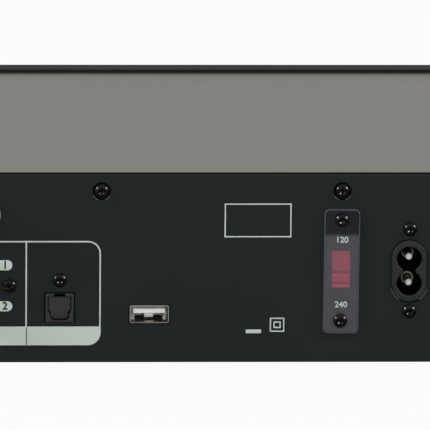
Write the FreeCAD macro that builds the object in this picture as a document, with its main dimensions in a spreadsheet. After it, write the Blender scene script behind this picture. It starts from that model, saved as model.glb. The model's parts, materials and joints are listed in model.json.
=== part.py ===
"""A half-width hi-fi radio tuner: a folded steel case with a black fascia, a rear panel full of sockets,
and the boards, transformer and tuner module that it holds. Millimetres, +Z up, the front faces -Y.
The origin is on the surface under the middle of the whole tuner, sockets and knob included."""

import FreeCAD, Part
import math
import os

import Sketcher

doc = FreeCAD.newDocument("radio_tuner")
sheet = doc.addObject("Spreadsheet::Sheet", "sizes")
nodes = []


class Size:
    """A length with the sheet expression that it comes from, so that sums of sizes stay bound."""

    def __init__(self, value, text):
        self.value = value
        self.text = text

    def __add__(self, other):
        other = as_size(other)
        return Size(self.value + other.value, f"({self.text} + {other.text})")

    def __sub__(self, other):
        other = as_size(other)
        return Size(self.value - other.value, f"({self.text} - {other.text})")

    def __mul__(self, other):
        other = as_size(other)
        return Size(self.value * other.value, f"({self.text} * {other.text})")

    def __truediv__(self, other):
        other = as_size(other)
        return Size(self.value / other.value, f"({self.text} / {other.text})")

    def __neg__(self):
        return Size(-self.value, f"(0 - {self.text})")

    __radd__ = __add__
    __rmul__ = __mul__

    def __rsub__(self, other):
        return as_size(other) - self


def as_size(number):
    if isinstance(number, Size):
        return number
    return Size(float(number), repr(float(number)))


def size(name, value):
    """Writes one driving dimension into the sheet and returns it."""
    row = len([cell for cell in sheet.getUsedCells() if cell.startswith("B")]) + 1
    sheet.set(f"A{row}", name.replace("_", " "))
    sheet.set(f"B{row}", str(value))
    sheet.setAlias(f"B{row}", name)
    return Size(float(value), f"sizes.{name}")


# The case
fascia_overhang = size("fascia_overhang", 1)
fascia_thickness = size("fascia_thickness", 11)
fascia_rise = size("fascia_rise", 1)
fascia_round = size("fascia_round", 1.6)
cover_width = size("cover_width", 288)
case_depth = size("case_depth", 190)
case_height = size("case_height", 63)
steel = size("steel", 1.2)
bend_radius = size("bend_radius", 2.4)
rear_steel = size("rear_steel", 1.5)
rear_drop = size("rear_drop", 0.5)
rear_bend = size("rear_bend", 1.0)
fold = size("fold", 13)
lip_height = size("lip_height", 10)
slip = size("slip", 0.3)
cover_screw_pitch = size("cover_screw_pitch", 78.7)
cover_screw_drop = size("cover_screw_drop", 5.8)
side_screw_inset = size("side_screw_inset", 30)
side_screw_rise = size("side_screw_rise", 8)

# Feet
foot_height = size("foot_height", 9)
foot_radius = size("foot_radius", 19)
foot_taper = size("foot_taper", 1.5)
foot_side_inset = size("foot_side_inset", 33)
foot_inset = size("foot_inset", 30)
foot_wall = size("foot_wall", 2.5)
foot_edge = size("foot_edge", 0.8)
foot_band = size("foot_band", 1)
pad_radius = size("pad_radius", 14)
pad_height = size("pad_height", 2.5)
pad_sunk = size("pad_sunk", 1.2)
pad_bevel = size("pad_bevel", 0.6)

# Screws: shank radius, and the head radius and height of the two sizes used
screw_radius = size("screw_radius", 1.5)
screw_gap = size("screw_gap", 0.2)
thread_gap = size("thread_gap", 0.04)
head_radius = size("head_radius", 2.8)
head_height = size("head_height", 1.9)
screw_length = size("screw_length", 7)
small_radius = size("small_radius", 1.25)
small_head_radius = size("small_head_radius", 2.4)
small_head_height = size("small_head_height", 1.6)
small_length = size("small_length", 6)
recess_width = size("recess_width", 0.7)
recess_depth = size("recess_depth", 0.9)
recess_share = size("recess_share", 0.55)
crown_share = size("crown_share", 0.55)
dome_share = size("dome_share", 0.9)
dome_height_share = size("dome_height_share", 0.8)
rim_share = size("rim_share", 0.45)
point_share = size("point_share", 0.7)
point_length_share = size("point_length_share", 0.6)
fold_screw_share = size("fold_screw_share", 0.8)
fascia_screw_inset = size("fascia_screw_inset", 12)
fascia_screw_rise = size("fascia_screw_rise", 18)
fascia_screw_drop = size("fascia_screw_drop", 13)

# Front controls
knob_reach = size("knob_reach", 15)
knob_radius = size("knob_radius", 19)
knob_edge = size("knob_edge", 1.2)
knob_wall = size("knob_wall", 2.6)
knob_inset = size("knob_inset", 43)
knob_gap = size("knob_gap", 0.6)
hub_radius = size("hub_radius", 6.5)
control_height = size("control_height", 34)
shaft_radius = size("shaft_radius", 3)
shaft_gap = size("shaft_gap", 0.05)
bushing_radius = size("bushing_radius", 4.5)
bushing_reach = size("bushing_reach", 5)
nut_flats = size("nut_flats", 12)
nut_height = size("nut_height", 2.2)
nut_room_radius = size("nut_room_radius", 7.8)
encoder_width = size("encoder_width", 14)
encoder_depth = size("encoder_depth", 6.5)
window_width = size("window_width", 112)
window_height = size("window_height", 27)
window_offset = size("window_offset", -26)
window_rise = size("window_rise", 39)
window_rim = size("window_rim", 3)
window_sunk = size("window_sunk", 0.4)
rebate_depth = size("rebate_depth", 4.5)
button_length = size("button_length", 15)
button_height = size("button_height", 5.6)
button_pitch = size("button_pitch", 23)
button_rise = size("button_rise", 14)
button_proud = size("button_proud", 1.4)
button_gap = size("button_gap", 0.3)
button_rim = size("button_rim", 1.2)
button_round = size("button_round", 0.6)
power_radius = size("power_radius", 7)
power_inset = size("power_inset", 27)
stem_radius = size("stem_radius", 1.7)
stem_gap = size("stem_gap", 0.12)
switch_width = size("switch_width", 6.2)
switch_depth = size("switch_depth", 3.6)
switch_bore = size("switch_bore", 2.2)
display_frame = size("display_frame", 1.5)
display_depth = size("display_depth", 10.4)
display_glass = size("display_glass", 3)

# Boards
board = size("board", 1.6)
post_height = size("post_height", 10)
post_radius = size("post_radius", 3)
post_inset = size("post_inset", 6)
rear_post_inset = size("rear_post_inset", 16)
front_board_height = size("front_board_height", 54)
main_margin = size("main_margin", 10.3)
main_depth = size("main_depth", 112)
power_margin = size("power_margin", 9.3)
board_gap = size("board_gap", 13)
main_share = size("main_share", 0.584)
power_depth = size("power_depth", 84)
main_setback = size("main_setback", 1)
power_setback = size("power_setback", 6)

# Rear panel places: insets are from the panel's nearer end, rises are above the case's bottom
jack_reach = size("jack_reach", 11)
antenna_inset = size("antenna_inset", 66)
antenna_rise = size("antenna_rise", 49)
antenna_radius = size("antenna_radius", 4.75)
antenna_bore = size("antenna_bore", 3)
neck_step = size("neck_step", 0.4)
rim_bevel = size("rim_bevel", 0.6)
press_gap = size("press_gap", 0.02)
antenna_flange = size("antenna_flange", 7)
antenna_flange_depth = size("antenna_flange_depth", 2)
antenna_pin = size("antenna_pin", 0.6)
antenna_nut_flats = size("antenna_nut_flats", 10.4)
antenna_nut_height = size("antenna_nut_height", 3)
shield_width = size("shield_width", 46)
shield_depth = size("shield_depth", 62)
shield_height = size("shield_height", 15)
shield_wall = size("shield_wall", 0.6)
audio_inset = size("audio_inset", 63.5)
left_rise = size("left_rise", 32.4)
right_rise = size("right_rise", 18.7)
jack_radius = size("jack_radius", 4.15)
jack_length = size("jack_length", 9)
jack_bore = size("jack_bore", 2.6)
jack_socket = size("jack_socket", 1.65)
insulator_radius = size("insulator_radius", 5.3)
insulator_proud = size("insulator_proud", 1)
jack_sunk = size("jack_sunk", 1.4)
ring_seat = size("ring_seat", 4)
jack_block_margin = size("jack_block_margin", 3)
jack_block_width = size("jack_block_width", 20)
jack_block_depth = size("jack_block_depth", 13)
jack_screw_inset = size("jack_screw_inset", 74.4)
jack_screw_rise = size("jack_screw_rise", 25.5)
optical_inset = size("optical_inset", 91)
optical_rise = size("optical_rise", 18.4)
optical_width = size("optical_width", 9.7)
optical_proud = size("optical_proud", 0.6)
optical_depth = size("optical_depth", 13)
ear_width = size("ear_width", 7)
ear_depth = size("ear_depth", 4)
mouth_width = size("mouth_width", 7.5)
mouth_height = size("mouth_height", 7.2)
mouth_top = size("mouth_top", 3)
mouth_corner = size("mouth_corner", 1.3)
room_depth = size("room_depth", 9)
optical_screw_rise = size("optical_screw_rise", 27.3)
notch_width = size("notch_width", 3.7)
notch_depth = size("notch_depth", 1.1)
shutter_thickness = size("shutter_thickness", 0.7)
shutter_setback = size("shutter_setback", 2.2)
shutter_gap = size("shutter_gap", 0.12)
shutter_pin = size("shutter_pin", 0.5)
pin_seat = size("pin_seat", 0.6)
lens_length = size("lens_length", 0.9)
lens_radius = size("lens_radius", 1.5)
usb_inset = size("usb_inset", 120.3)
usb_rise = size("usb_rise", 15.9)
usb_width = size("usb_width", 13.1)
usb_height = size("usb_height", 5.8)
usb_wall = size("usb_wall", 0.4)
usb_depth = size("usb_depth", 14)
usb_proud = size("usb_proud", 0.7)
tongue_width = size("tongue_width", 11.1)
tongue_thickness = size("tongue_thickness", 1.9)
tongue_drop = size("tongue_drop", 0.7)
tongue_base = size("tongue_base", 3)
tongue_setback = size("tongue_setback", 1.2)
contact_width = size("contact_width", 1)
contact_length = size("contact_length", 7)
contact_thickness = size("contact_thickness", 0.2)
contact_pitch = size("contact_pitch", 2.3)
selector_inset = size("selector_inset", 104.8)
selector_rise = size("selector_rise", 30.5)
selector_screw_pitch = size("selector_screw_pitch", 33.6)
plate_width = size("plate_width", 11.5)
plate_height = size("plate_height", 41.4)
plate_thickness = size("plate_thickness", 1.5)
aperture_width = size("aperture_width", 6.3)
aperture_height = size("aperture_height", 13)
aperture_shift = size("aperture_shift", 0.4)
nub_height = size("nub_height", 5.6)
nub_gap = size("nub_gap", 0.5)
slider_thickness = size("slider_thickness", 1.8)
selector_body_width = size("selector_body_width", 10.4)
selector_body_depth = size("selector_body_depth", 9)
selector_wall = size("selector_wall", 1)
nub_sunk = size("nub_sunk", 0.3)
rib_pitch = size("rib_pitch", 1.5)
rib_width = size("rib_width", 0.6)
rib_depth = size("rib_depth", 0.5)
plate_corner = size("plate_corner", 1.6)
inlet_inset = size("inlet_inset", 82.5)
inlet_rise = size("inlet_rise", 30.4)
inlet_width = size("inlet_width", 11.8)
inlet_height = size("inlet_height", 20.9)
inlet_proud = size("inlet_proud", 0.8)
inlet_depth = size("inlet_depth", 15)
inlet_lobe = size("inlet_lobe", 8.3)
inlet_recess_height = size("inlet_recess_height", 16.7)
inlet_recess_depth = size("inlet_recess_depth", 12)
inlet_waist = size("inlet_waist", 6.6)
inlet_screw_pitch = size("inlet_screw_pitch", 27.7)
pin_radius = size("pin_radius", 1.18)
pin_pitch = size("pin_pitch", 8.6)
pin_reach = size("pin_reach", 9.4)
pin_nose = size("pin_nose", 0.7)
pin_crown = size("pin_crown", 0.4)
tail_length = size("tail_length", 6)
flange_thickness = size("flange_thickness", 1.8)
flange_margin = size("flange_margin", 3.4)
cut_gap = size("cut_gap", 0.2)

# Power supply
core_width = size("core_width", 57)
core_height = size("core_height", 47)
core_stack = size("core_stack", 28)
core_leg = size("core_leg", 9.5)
core_margin = size("core_margin", 49.3)
core_setback = size("core_setback", 128)
bobbin_wall = size("bobbin_wall", 1)
bobbin_swell = size("bobbin_swell", 9)
strap = size("strap", 1)
strap_width = size("strap_width", 20)
ear_length = size("ear_length", 11)
can_radius = size("can_radius", 8)
can_height = size("can_height", 24)
can_pitch = size("can_pitch", 22)
can_gap = size("can_gap", 2)
can_setback = size("can_setback", 62)
can_edge = size("can_edge", 0.8)
groove_rise = size("groove_rise", 2.9)
groove_height = size("groove_height", 1.6)
groove_depth = size("groove_depth", 0.6)
sink_width = size("sink_width", 30)
sink_base = size("sink_base", 3)
fin_thickness = size("fin_thickness", 1.4)
fin_reach = size("fin_reach", 12)
fin_count = size("fin_count", 5)
sink_height = size("sink_height", 28)
sink_setback = size("sink_setback", 52)
sink_inset = size("sink_inset", 16)
regulator_width = size("regulator_width", 10)
regulator_height = size("regulator_height", 15)
regulator_thickness = size("regulator_thickness", 4.4)
leg_length = size("leg_length", 5)
leg_pitch = size("leg_pitch", 2.54)
leg_width = size("leg_width", 0.8)
fuse_radius = size("fuse_radius", 2.6)
fuse_length = size("fuse_length", 20)
fuse_setback = size("fuse_setback", 34)
fuse_inset = size("fuse_inset", 22)
clip_length = size("clip_length", 4)
clip_wall = size("clip_wall", 0.6)
clip_rise = size("clip_rise", 1.5)
lead_radius = size("lead_radius", 1.2)
lead_bend = size("lead_bend", 7)
lead_run = size("lead_run", 11)
lead_step = size("lead_step", 9)
ribbon_width = size("ribbon_width", 26)
ribbon_thickness = size("ribbon_thickness", 1)
ribbon_rise = size("ribbon_rise", 18)
ribbon_bend = size("ribbon_bend", 6)
header_height = size("header_height", 6)
header_depth = size("header_depth", 5)
header_margin = size("header_margin", 2)
vent_length = size("vent_length", 46)
vent_width = size("vent_width", 3)
vent_pitch = size("vent_pitch", 7)
vent_count = size("vent_count", 7)
doc.recompute()

# Levels of the main planes, from the driving sizes
zero = as_size(0)
total_depth = knob_reach + fascia_thickness + case_depth + jack_reach
rear_face = total_depth / 2 - jack_reach
fascia_back = rear_face - case_depth
inner_depth = case_depth - rear_steel
rear_inner = rear_face - rear_steel
floor_half = cover_width / 2 - steel - slip
floor_inner = floor_half - steel
board_level = foot_height + steel + post_height
board_top = board_level + board
switch_face = steel + post_height - switch_depth

# Widths and places across the case, from its middle to +X
fascia_width = cover_width + fascia_overhang * 2
foot_spread = cover_width - foot_side_inset * 2
knob_offset = fascia_width / 2 - knob_inset
power_offset = -fascia_width / 2 + power_inset
board_room = floor_inner * 2 - main_margin - power_margin - board_gap
main_width = board_room * main_share
power_width = board_room - main_width
main_offset = floor_inner - main_margin - main_width / 2
power_board_offset = -floor_inner + power_margin + power_width / 2
core_offset = -floor_inner + core_margin
sink_offset = power_board_offset + power_width / 2 - sink_inset
fuse_offset = power_board_offset - power_width / 2 + fuse_inset
can_offset = sink_offset - sink_width / 2 - can_gap - can_radius
antenna_offset = cover_width / 2 - antenna_inset
audio_offset = cover_width / 2 - audio_inset
jack_screw_offset = cover_width / 2 - jack_screw_inset
optical_offset = cover_width / 2 - optical_inset
usb_offset = cover_width / 2 - usb_inset
selector_offset = -cover_width / 2 + selector_inset
inlet_offset = -cover_width / 2 + inlet_inset

# Directions that a part's own +Z axis is turned to
ALONG = {
    "up": FreeCAD.Rotation(),
    "down": FreeCAD.Rotation(FreeCAD.Vector(1, 0, 0), 180),
    "rear": FreeCAD.Rotation(FreeCAD.Vector(1, 0, 0), -90),
    "front": FreeCAD.Rotation(FreeCAD.Vector(1, 0, 0), 90),
    "right": FreeCAD.Rotation(FreeCAD.Vector(0, 1, 0), 90),
    "left": FreeCAD.Rotation(FreeCAD.Vector(0, 1, 0), -90),
}

# The sketcher's own numbers for its origin and for the points of a line or an arc
SKETCH_NUMBERS = {"origin": -1, "start": 1, "end": 2, "centre": 3}
ORIGIN = SKETCH_NUMBERS["origin"]
START = SKETCH_NUMBERS["start"]
END = SKETCH_NUMBERS["end"]
CENTRE = SKETCH_NUMBERS["centre"]


def put(item, x, y, z, along="up"):
    """Places an item with its position bound to the sheet."""
    item.Placement = FreeCAD.Placement(FreeCAD.Vector(), ALONG[along])
    for axis, value in (("x", x), ("y", y), ("z", z)):
        item.setExpression(f"Placement.Base.{axis}", as_size(value).text)


def new_body(name):
    item = doc.addObject("PartDesign::Body", name)
    item.Label = name
    return item


def draw_on(part, plane, offset=0):
    """Starts a sketch on one of the body's own planes, moved along that plane's normal."""
    flat = next(face for face in part.Origin.OriginFeatures if face.Role == plane)
    drawing = part.newObject("Sketcher::SketchObject", f"{part.Name}_sketch")
    drawing.AttachmentSupport = [(flat, "")]
    drawing.MapMode = "FlatFace"
    drawing.setExpression("AttachmentOffset.Base.z", as_size(offset).text)
    return drawing


def fix_point(drawing, geometry, vertex, across, up):
    """Holds one point of a sketch at a distance from its origin."""
    for kind, value in (("DistanceX", as_size(across)), ("DistanceY", as_size(up))):
        constraint = Sketcher.Constraint(kind, ORIGIN, START, geometry, vertex, value.value)
        index = drawing.addConstraint(constraint)
        drawing.setExpression(f"Constraints[{index}]", value.text)


def fix_radius(drawing, geometry, radius):
    index = drawing.addConstraint(Sketcher.Constraint("Radius", geometry, as_size(radius).value))
    drawing.setExpression(f"Constraints[{index}]", as_size(radius).text)


def point(across, up):
    return FreeCAD.Vector(as_size(across).value, as_size(up).value, 0)


def polygon(drawing, corners):
    """A closed outline through the corners given."""
    first = drawing.GeometryCount
    count = len(corners)
    for index in range(count):
        line = Part.LineSegment(point(*corners[index]), point(*corners[(index + 1) % count]))
        drawing.addGeometry(line)
    for index in range(count):
        following = first + (index + 1) % count
        drawing.addConstraint(Sketcher.Constraint("Coincident", first + index, END, following, START))
        fix_point(drawing, first + index, START, *corners[index])


def rectangle(drawing, across, up, width, height):
    """A rectangle about its centre."""
    left, right = across - width / 2, across + width / 2
    low, high = up - height / 2, up + height / 2
    polygon(drawing, [(left, low), (right, low), (right, high), (left, high)])


def circle(drawing, across, up, radius):
    whole = Part.Circle(point(across, up), FreeCAD.Vector(0, 0, 1), as_size(radius).value)
    index = drawing.addGeometry(whole)
    fix_point(drawing, index, CENTRE, across, up)
    fix_radius(drawing, index, radius)


def hexagon(drawing, across, up, flats):
    reach = flats / math.sqrt(3)
    corners = []
    for index in range(6):
        angle = math.tau * (index * 2 + 1) / 12
        corners.append((across + reach * math.cos(angle), up + reach * math.sin(angle)))
    polygon(drawing, corners)


def arc(drawing, across, up, radius, start, end):
    whole = Part.Circle(point(across, up), FreeCAD.Vector(0, 0, 1), as_size(radius).value)
    return drawing.addGeometry(Part.ArcOfCircle(whole, math.radians(start), math.radians(end)))


def line(drawing, start, end):
    return drawing.addGeometry(Part.LineSegment(point(*start), point(*end)))


def oblong(drawing, across, up, width, height):
    """A slot outline with round ends, lying or standing by which side is longer."""
    lying = as_size(width).value > as_size(height).value
    radius = (height if lying else width) / 2
    reach = (width - height) / 2 if lying else (height - width) / 2
    if lying:
        ends = [(across - reach, up), (across + reach, up)]
    else:
        ends = [(across, up - reach), (across, up + reach)]
    turn = 90 if lying else 180
    first = arc(drawing, *ends[0], radius, turn, turn + 180)
    second = arc(drawing, *ends[1], radius, turn - 180, turn)
    away = (zero, radius) if lying else (-radius, zero)
    sides = []
    for sign in (1, -1):
        step = (away[0] * sign, away[1] * sign)
        start = (ends[0][0] + step[0], ends[0][1] + step[1])
        stop = (ends[1][0] + step[0], ends[1][1] + step[1])
        sides.append(line(drawing, start, stop))
    for side, first_end, second_end in ((sides[0], START, END), (sides[1], END, START)):
        drawing.addConstraint(Sketcher.Constraint("Tangent", side, START, first, first_end))
        drawing.addConstraint(Sketcher.Constraint("Tangent", side, END, second, second_end))
    fix_point(drawing, first, CENTRE, *ends[0])
    fix_point(drawing, second, CENTRE, *ends[1])
    drawing.addConstraint(Sketcher.Constraint("Equal", first, second))
    fix_radius(drawing, first, radius)


def pad(part, drawing, length, backwards=False):
    feature = part.newObject("PartDesign::Pad", f"{part.Name}_pad")
    feature.Profile = drawing
    feature.setExpression("Length", as_size(length).text)
    feature.Reversed = backwards
    return feature


def pocket(part, drawing, depth, backwards=False, symmetric=False):
    """Cuts a sketch out of the body and makes sure that the cut took something away."""
    doc.recompute()
    before = part.Shape.Volume
    feature = part.newObject("PartDesign::Pocket", f"{part.Name}_pocket")
    feature.Profile = drawing
    feature.setExpression("Length", as_size(depth).text)
    feature.Reversed = backwards
    if symmetric:
        feature.SideType = "Symmetric"
    doc.recompute()
    if part.Shape.Volume >= before:
        raise RuntimeError(f"a cut in {part.Label} took nothing away")
    return feature


def revolve(part, drawing, axis):
    feature = part.newObject("PartDesign::Revolution", f"{part.Name}_turned")
    feature.Profile = drawing
    feature.ReferenceAxis = (drawing, [axis])
    feature.Angle = 360
    return feature


def edges_on(part, **planes):
    """Names of the edges that lie wholly on the planes given, such as z=0."""
    doc.recompute()
    same_place = 0.01
    found = []
    for number, edge in enumerate(part.Tip.Shape.Edges, start=1):
        box = edge.BoundBox
        spans = {"x": (box.XMin, box.XMax), "y": (box.YMin, box.YMax), "z": (box.ZMin, box.ZMax)}
        where = [(spans[axis], as_size(level).value) for axis, level in planes.items()]
        if all(math.dist(span, (level, level)) < same_place for span, level in where):
            found.append(f"Edge{number}")
    return found


def soften(part, radius, names, kind="Fillet"):
    """Rounds or chamfers the edges named."""
    base = part.Tip
    feature = part.newObject(f"PartDesign::{kind}", f"{part.Name}_{kind.lower()}")
    feature.Base = (base, names)
    feature.setExpression("Radius" if kind == "Fillet" else "Size", as_size(radius).text)
    part.Tip = feature
    return feature


def keep(item, name=None):
    """Adds a finished sub-part to those that are written out."""
    if name:
        item.Label = name
    nodes.append(item)
    return item


def group(name, pattern, places):
    """Several equal solids of one pattern body, as one node: each place is x, y, z and a direction."""
    links = []
    for index, (x, y, z, along) in enumerate(places):
        link = doc.addObject("App::Link", f"{name}_{index + 1}")
        link.LinkedObject = pattern
        put(link, x, y, z, along)
        links.append(link)
    item = doc.addObject("Part::Compound", name)
    item.Links = links
    return keep(item, name)


def block(name, x, y, z, width, depth, height):
    """A box about the middle of its base."""
    item = doc.addObject("Part::Box", name)
    for side, value in (("Length", width), ("Width", depth), ("Height", height)):
        item.setExpression(side, as_size(value).text)
    put(item, x - width / 2, y - depth / 2, z)
    return item


def rod(name, x, y, z, radius, length, along="up"):
    """A cylinder that starts at a point and runs along a direction."""
    item = doc.addObject("Part::Cylinder", name)
    item.setExpression("Radius", as_size(radius).text)
    item.setExpression("Height", as_size(length).text)
    put(item, x, y, z, along)
    return item


def cut(name, base, tools):
    for index, tool in enumerate(tools):
        item = doc.addObject("Part::Cut", f"{name}_cut_{index}")
        item.Base = base
        item.Tool = tool
        base = item
    return base


def join(name, parts):
    item = doc.addObject("Part::MultiFuse", name)
    item.Shapes = parts
    return item


# Places that several sub-parts share
cover_screw_places = [cover_screw_pitch * step for step in (-1.5, -0.5, 0.5, 1.5)]
cover_screw_level = case_height - cover_screw_drop
side_screw_places = [side_screw_inset, case_depth - side_screw_inset]
foot_places = []
for side in (-1, 1):
    for depth in (foot_inset, inner_depth - foot_inset):
        foot_places.append((foot_spread * side / 2, depth))
fold_screw_places = [floor_half * fold_screw_share * side for side in (-1, 0, 1)]
button_names = ["menu_button", "band_button", "preset_down_button", "preset_up_button", "store_button"]
button_places = [window_offset + button_pitch * step for step in (-2, -1, 0, 1, 2)]
fascia_height = case_height + fascia_rise
fascia_screw_places = []
for side in (-1, 1):
    for up in (fascia_screw_rise, fascia_height - fascia_screw_drop):
        fascia_screw_places.append(((fascia_width / 2 - fascia_screw_inset) * side, up))
core_ear_spread = core_width + strap * 2 + ear_length
selector_level = selector_rise + aperture_shift

front_board_width = cover_width - fold * 2
front_board_rise = steel * 2 + slip
front_post_places = []
for side in (-1, 1):
    for up in (front_board_rise + post_inset, front_board_rise + front_board_height - post_inset):
        front_post_places.append(((front_board_width / 2 - post_inset) * side, up))


def post_places(offset, width, depth, setback):
    """The four corner holes of a board whose rear edge is set back from the rear panel."""
    rear = rear_inner - setback - rear_post_inset
    front = rear_inner - setback - depth + post_inset
    places = []
    for across in (offset - width / 2 + post_inset, offset + width / 2 - post_inset):
        for along in (front, rear):
            places.append((across, along))
    return places


main_posts = post_places(main_offset, main_width, main_depth, main_setback)
power_posts = post_places(power_board_offset, power_width, power_depth, power_setback)


def make_screw(name, shank, head, height, length):
    """A pan-head screw with a cross recess, its head's seat at zero and its shank below."""
    screw = new_body(name)
    outline = draw_on(screw, "XZ_Plane")
    polygon(outline, [
        (zero, -length), (shank * point_share, -length), (shank, -length + shank * point_length_share),
        (shank, zero), (head, zero), (head, height * rim_share),
        (head * dome_share, height * dome_height_share), (head * crown_share, height), (zero, height),
    ])
    revolve(screw, outline, "V_Axis")
    recess = draw_on(screw, "XY_Plane", height)
    wide, narrow = head * recess_share, recess_width / 2
    polygon(recess, [
        (wide, -narrow), (wide, narrow), (narrow, narrow), (narrow, wide),
        (-narrow, wide), (-narrow, narrow), (-wide, narrow), (-wide, -narrow),
        (-narrow, -narrow), (-narrow, -wide), (narrow, -wide), (narrow, -narrow),
    ])
    pocket(screw, recess, recess_depth)
    return screw


def make_chassis():
    """The folded floor tray, with side folds, screw holes and vents."""
    tray = new_body("base_chassis")
    outline = draw_on(tray, "XZ_Plane")
    polygon(outline, [
        (-floor_half, zero), (floor_half, zero), (floor_half, fold), (floor_inner, fold),
        (floor_inner, steel), (-floor_inner, steel), (-floor_inner, fold), (-floor_half, fold),
    ])
    pad(tray, outline, inner_depth, backwards=True)
    for corner in (-floor_half, floor_half):
        soften(tray, steel, edges_on(tray, x=corner, z=0))
    holes = draw_on(tray, "XY_Plane")
    for across, along in foot_places:
        circle(holes, across, along, screw_radius + thread_gap)
    for across in fold_screw_places:
        for along in (fold / 2 + steel, inner_depth - fold / 2):
            circle(holes, across, along, screw_radius + screw_gap)
    for side in (-1, 1):
        across = core_offset + core_ear_spread * side / 2
        circle(holes, across, case_depth - core_setback, screw_radius + thread_gap)
    for middle in (core_offset, -core_offset):
        first = inner_depth / 2 - vent_pitch * (vent_count - 1) / 2
        for step in range(int(vent_count.value)):
            oblong(holes, middle, first + vent_pitch * step, vent_length, vent_width)
    pocket(tray, holes, steel * 2, backwards=True)
    side_holes = draw_on(tray, "YZ_Plane")
    for along in side_screw_places:
        circle(side_holes, along, side_screw_rise, screw_radius + thread_gap)
    pocket(tray, side_holes, cover_width, symmetric=True)
    put(tray, 0, fascia_back, foot_height)
    keep(tray)


def make_cover():
    """The cover: a top and two sides folded from one sheet, with a lip behind the rear panel's top."""
    cover = new_body("top_cover")
    outline = draw_on(cover, "XZ_Plane")
    outer, inner = cover_width / 2, cover_width / 2 - steel
    polygon(outline, [
        (-outer, zero), (-inner, zero), (-inner, case_height - steel), (inner, case_height - steel),
        (inner, zero), (outer, zero), (outer, case_height), (-outer, case_height),
    ])
    pad(cover, outline, inner_depth, backwards=True)
    lip = draw_on(cover, "XZ_Plane", -inner_depth)
    rectangle(lip, zero, case_height - steel / 2 - lip_height / 2, (inner - bend_radius) * 2, lip_height)
    pad(cover, lip, steel)
    relief = draw_on(cover, "XZ_Plane", -inner_depth)
    relief_level = case_height - steel - lip_height
    rectangle(relief, antenna_offset, relief_level, (antenna_flange + slip) * 2, lip_height)
    pocket(cover, relief, steel, backwards=True)
    for corner in (-outer, outer):
        soften(cover, bend_radius, edges_on(cover, x=corner, z=case_height))
    soften(cover, rear_bend, edges_on(cover, y=inner_depth, z=case_height))
    lip_holes = draw_on(cover, "XZ_Plane", -inner_depth)
    for across in cover_screw_places:
        circle(lip_holes, across, cover_screw_level, screw_radius + thread_gap)
    pocket(cover, lip_holes, steel * 2, backwards=True)
    side_holes = draw_on(cover, "YZ_Plane")
    for along in side_screw_places:
        circle(side_holes, along, side_screw_rise, screw_radius + screw_gap)
    pocket(cover, side_holes, cover_width + steel, symmetric=True)
    put(cover, 0, fascia_back, foot_height)
    keep(cover)


def make_rear_panel():
    """The rear panel with every socket's cut-out, folded inwards along its bottom edge."""
    panel = new_body("rear_panel")
    plate = draw_on(panel, "XZ_Plane")
    height = case_height - rear_drop
    rectangle(plate, zero, height / 2, cover_width, height)
    pad(panel, plate, rear_steel)
    bottom = draw_on(panel, "XY_Plane", steel)
    inner = floor_inner - slip
    polygon(bottom, [(-inner, -fold), (inner, -fold), (inner, -rear_steel / 2), (-inner, -rear_steel / 2)])
    pad(panel, bottom, rear_steel)
    fold_holes = draw_on(panel, "XY_Plane", steel)
    for across in fold_screw_places:
        circle(fold_holes, across, -rear_steel - fold / 2, screw_radius + thread_gap)
    pocket(panel, fold_holes, rear_steel, backwards=True)
    holes = draw_on(panel, "XZ_Plane")
    for across in cover_screw_places:
        circle(holes, across, cover_screw_level, screw_radius + screw_gap)
    circle(holes, antenna_offset, antenna_rise, antenna_radius + cut_gap)
    for up in (left_rise, right_rise):
        circle(holes, audio_offset, up, insulator_radius + cut_gap)
    circle(holes, jack_screw_offset, jack_screw_rise, small_radius + screw_gap)
    rectangle(holes, optical_offset, optical_rise, optical_width + cut_gap * 2, optical_width + cut_gap * 2)
    circle(holes, optical_offset, optical_screw_rise, small_radius + screw_gap)
    rectangle(holes, usb_offset, usb_rise, usb_width + cut_gap * 2, usb_height + cut_gap * 2)
    rectangle(holes, selector_offset, selector_level, aperture_width, aperture_height)
    oblong(holes, inlet_offset, inlet_rise, inlet_width + cut_gap * 2, inlet_height + cut_gap * 2)
    for half in (-0.5, 0.5):
        selector_up = selector_rise + selector_screw_pitch * half
        circle(holes, selector_offset, selector_up, small_radius + screw_gap)
        circle(holes, inlet_offset, inlet_rise + inlet_screw_pitch * half, small_radius + screw_gap)
    pocket(panel, holes, rear_steel * 2, backwards=True)
    put(panel, 0, rear_face, foot_height)
    keep(panel)


def make_subframe():
    """The upright steel plate behind the fascia, folded back along the floor."""
    frame = new_body("front_subframe")
    inner = floor_inner - slip
    height = case_height - steel * 2 - slip
    plate = draw_on(frame, "XZ_Plane")
    rectangle(plate, zero, steel + height / 2, inner * 2, height)
    pad(frame, plate, steel, backwards=True)
    bottom = draw_on(frame, "XY_Plane", steel)
    polygon(bottom, [(-inner, steel / 2), (inner, steel / 2), (inner, steel + fold), (-inner, steel + fold)])
    pad(frame, bottom, steel)
    fold_holes = draw_on(frame, "XY_Plane", steel)
    for across in fold_screw_places:
        circle(fold_holes, across, steel + fold / 2, screw_radius + thread_gap)
    pocket(frame, fold_holes, steel, backwards=True)
    holes = draw_on(frame, "XZ_Plane")
    low = button_rise - button_height
    high = window_rise + window_height / 2 + window_rim + slip
    rectangle(holes, window_offset, (low + high) / 2, window_width + (window_rim + slip) * 2, high - low)
    circle(holes, power_offset, control_height, power_radius + button_rim + slip)
    circle(holes, knob_offset, control_height, bushing_radius + screw_gap)
    for across, up in fascia_screw_places:
        circle(holes, across, up, screw_radius + screw_gap)
    pocket(frame, holes, steel * 2)
    put(frame, 0, fascia_back, foot_height)
    keep(frame)


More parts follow.
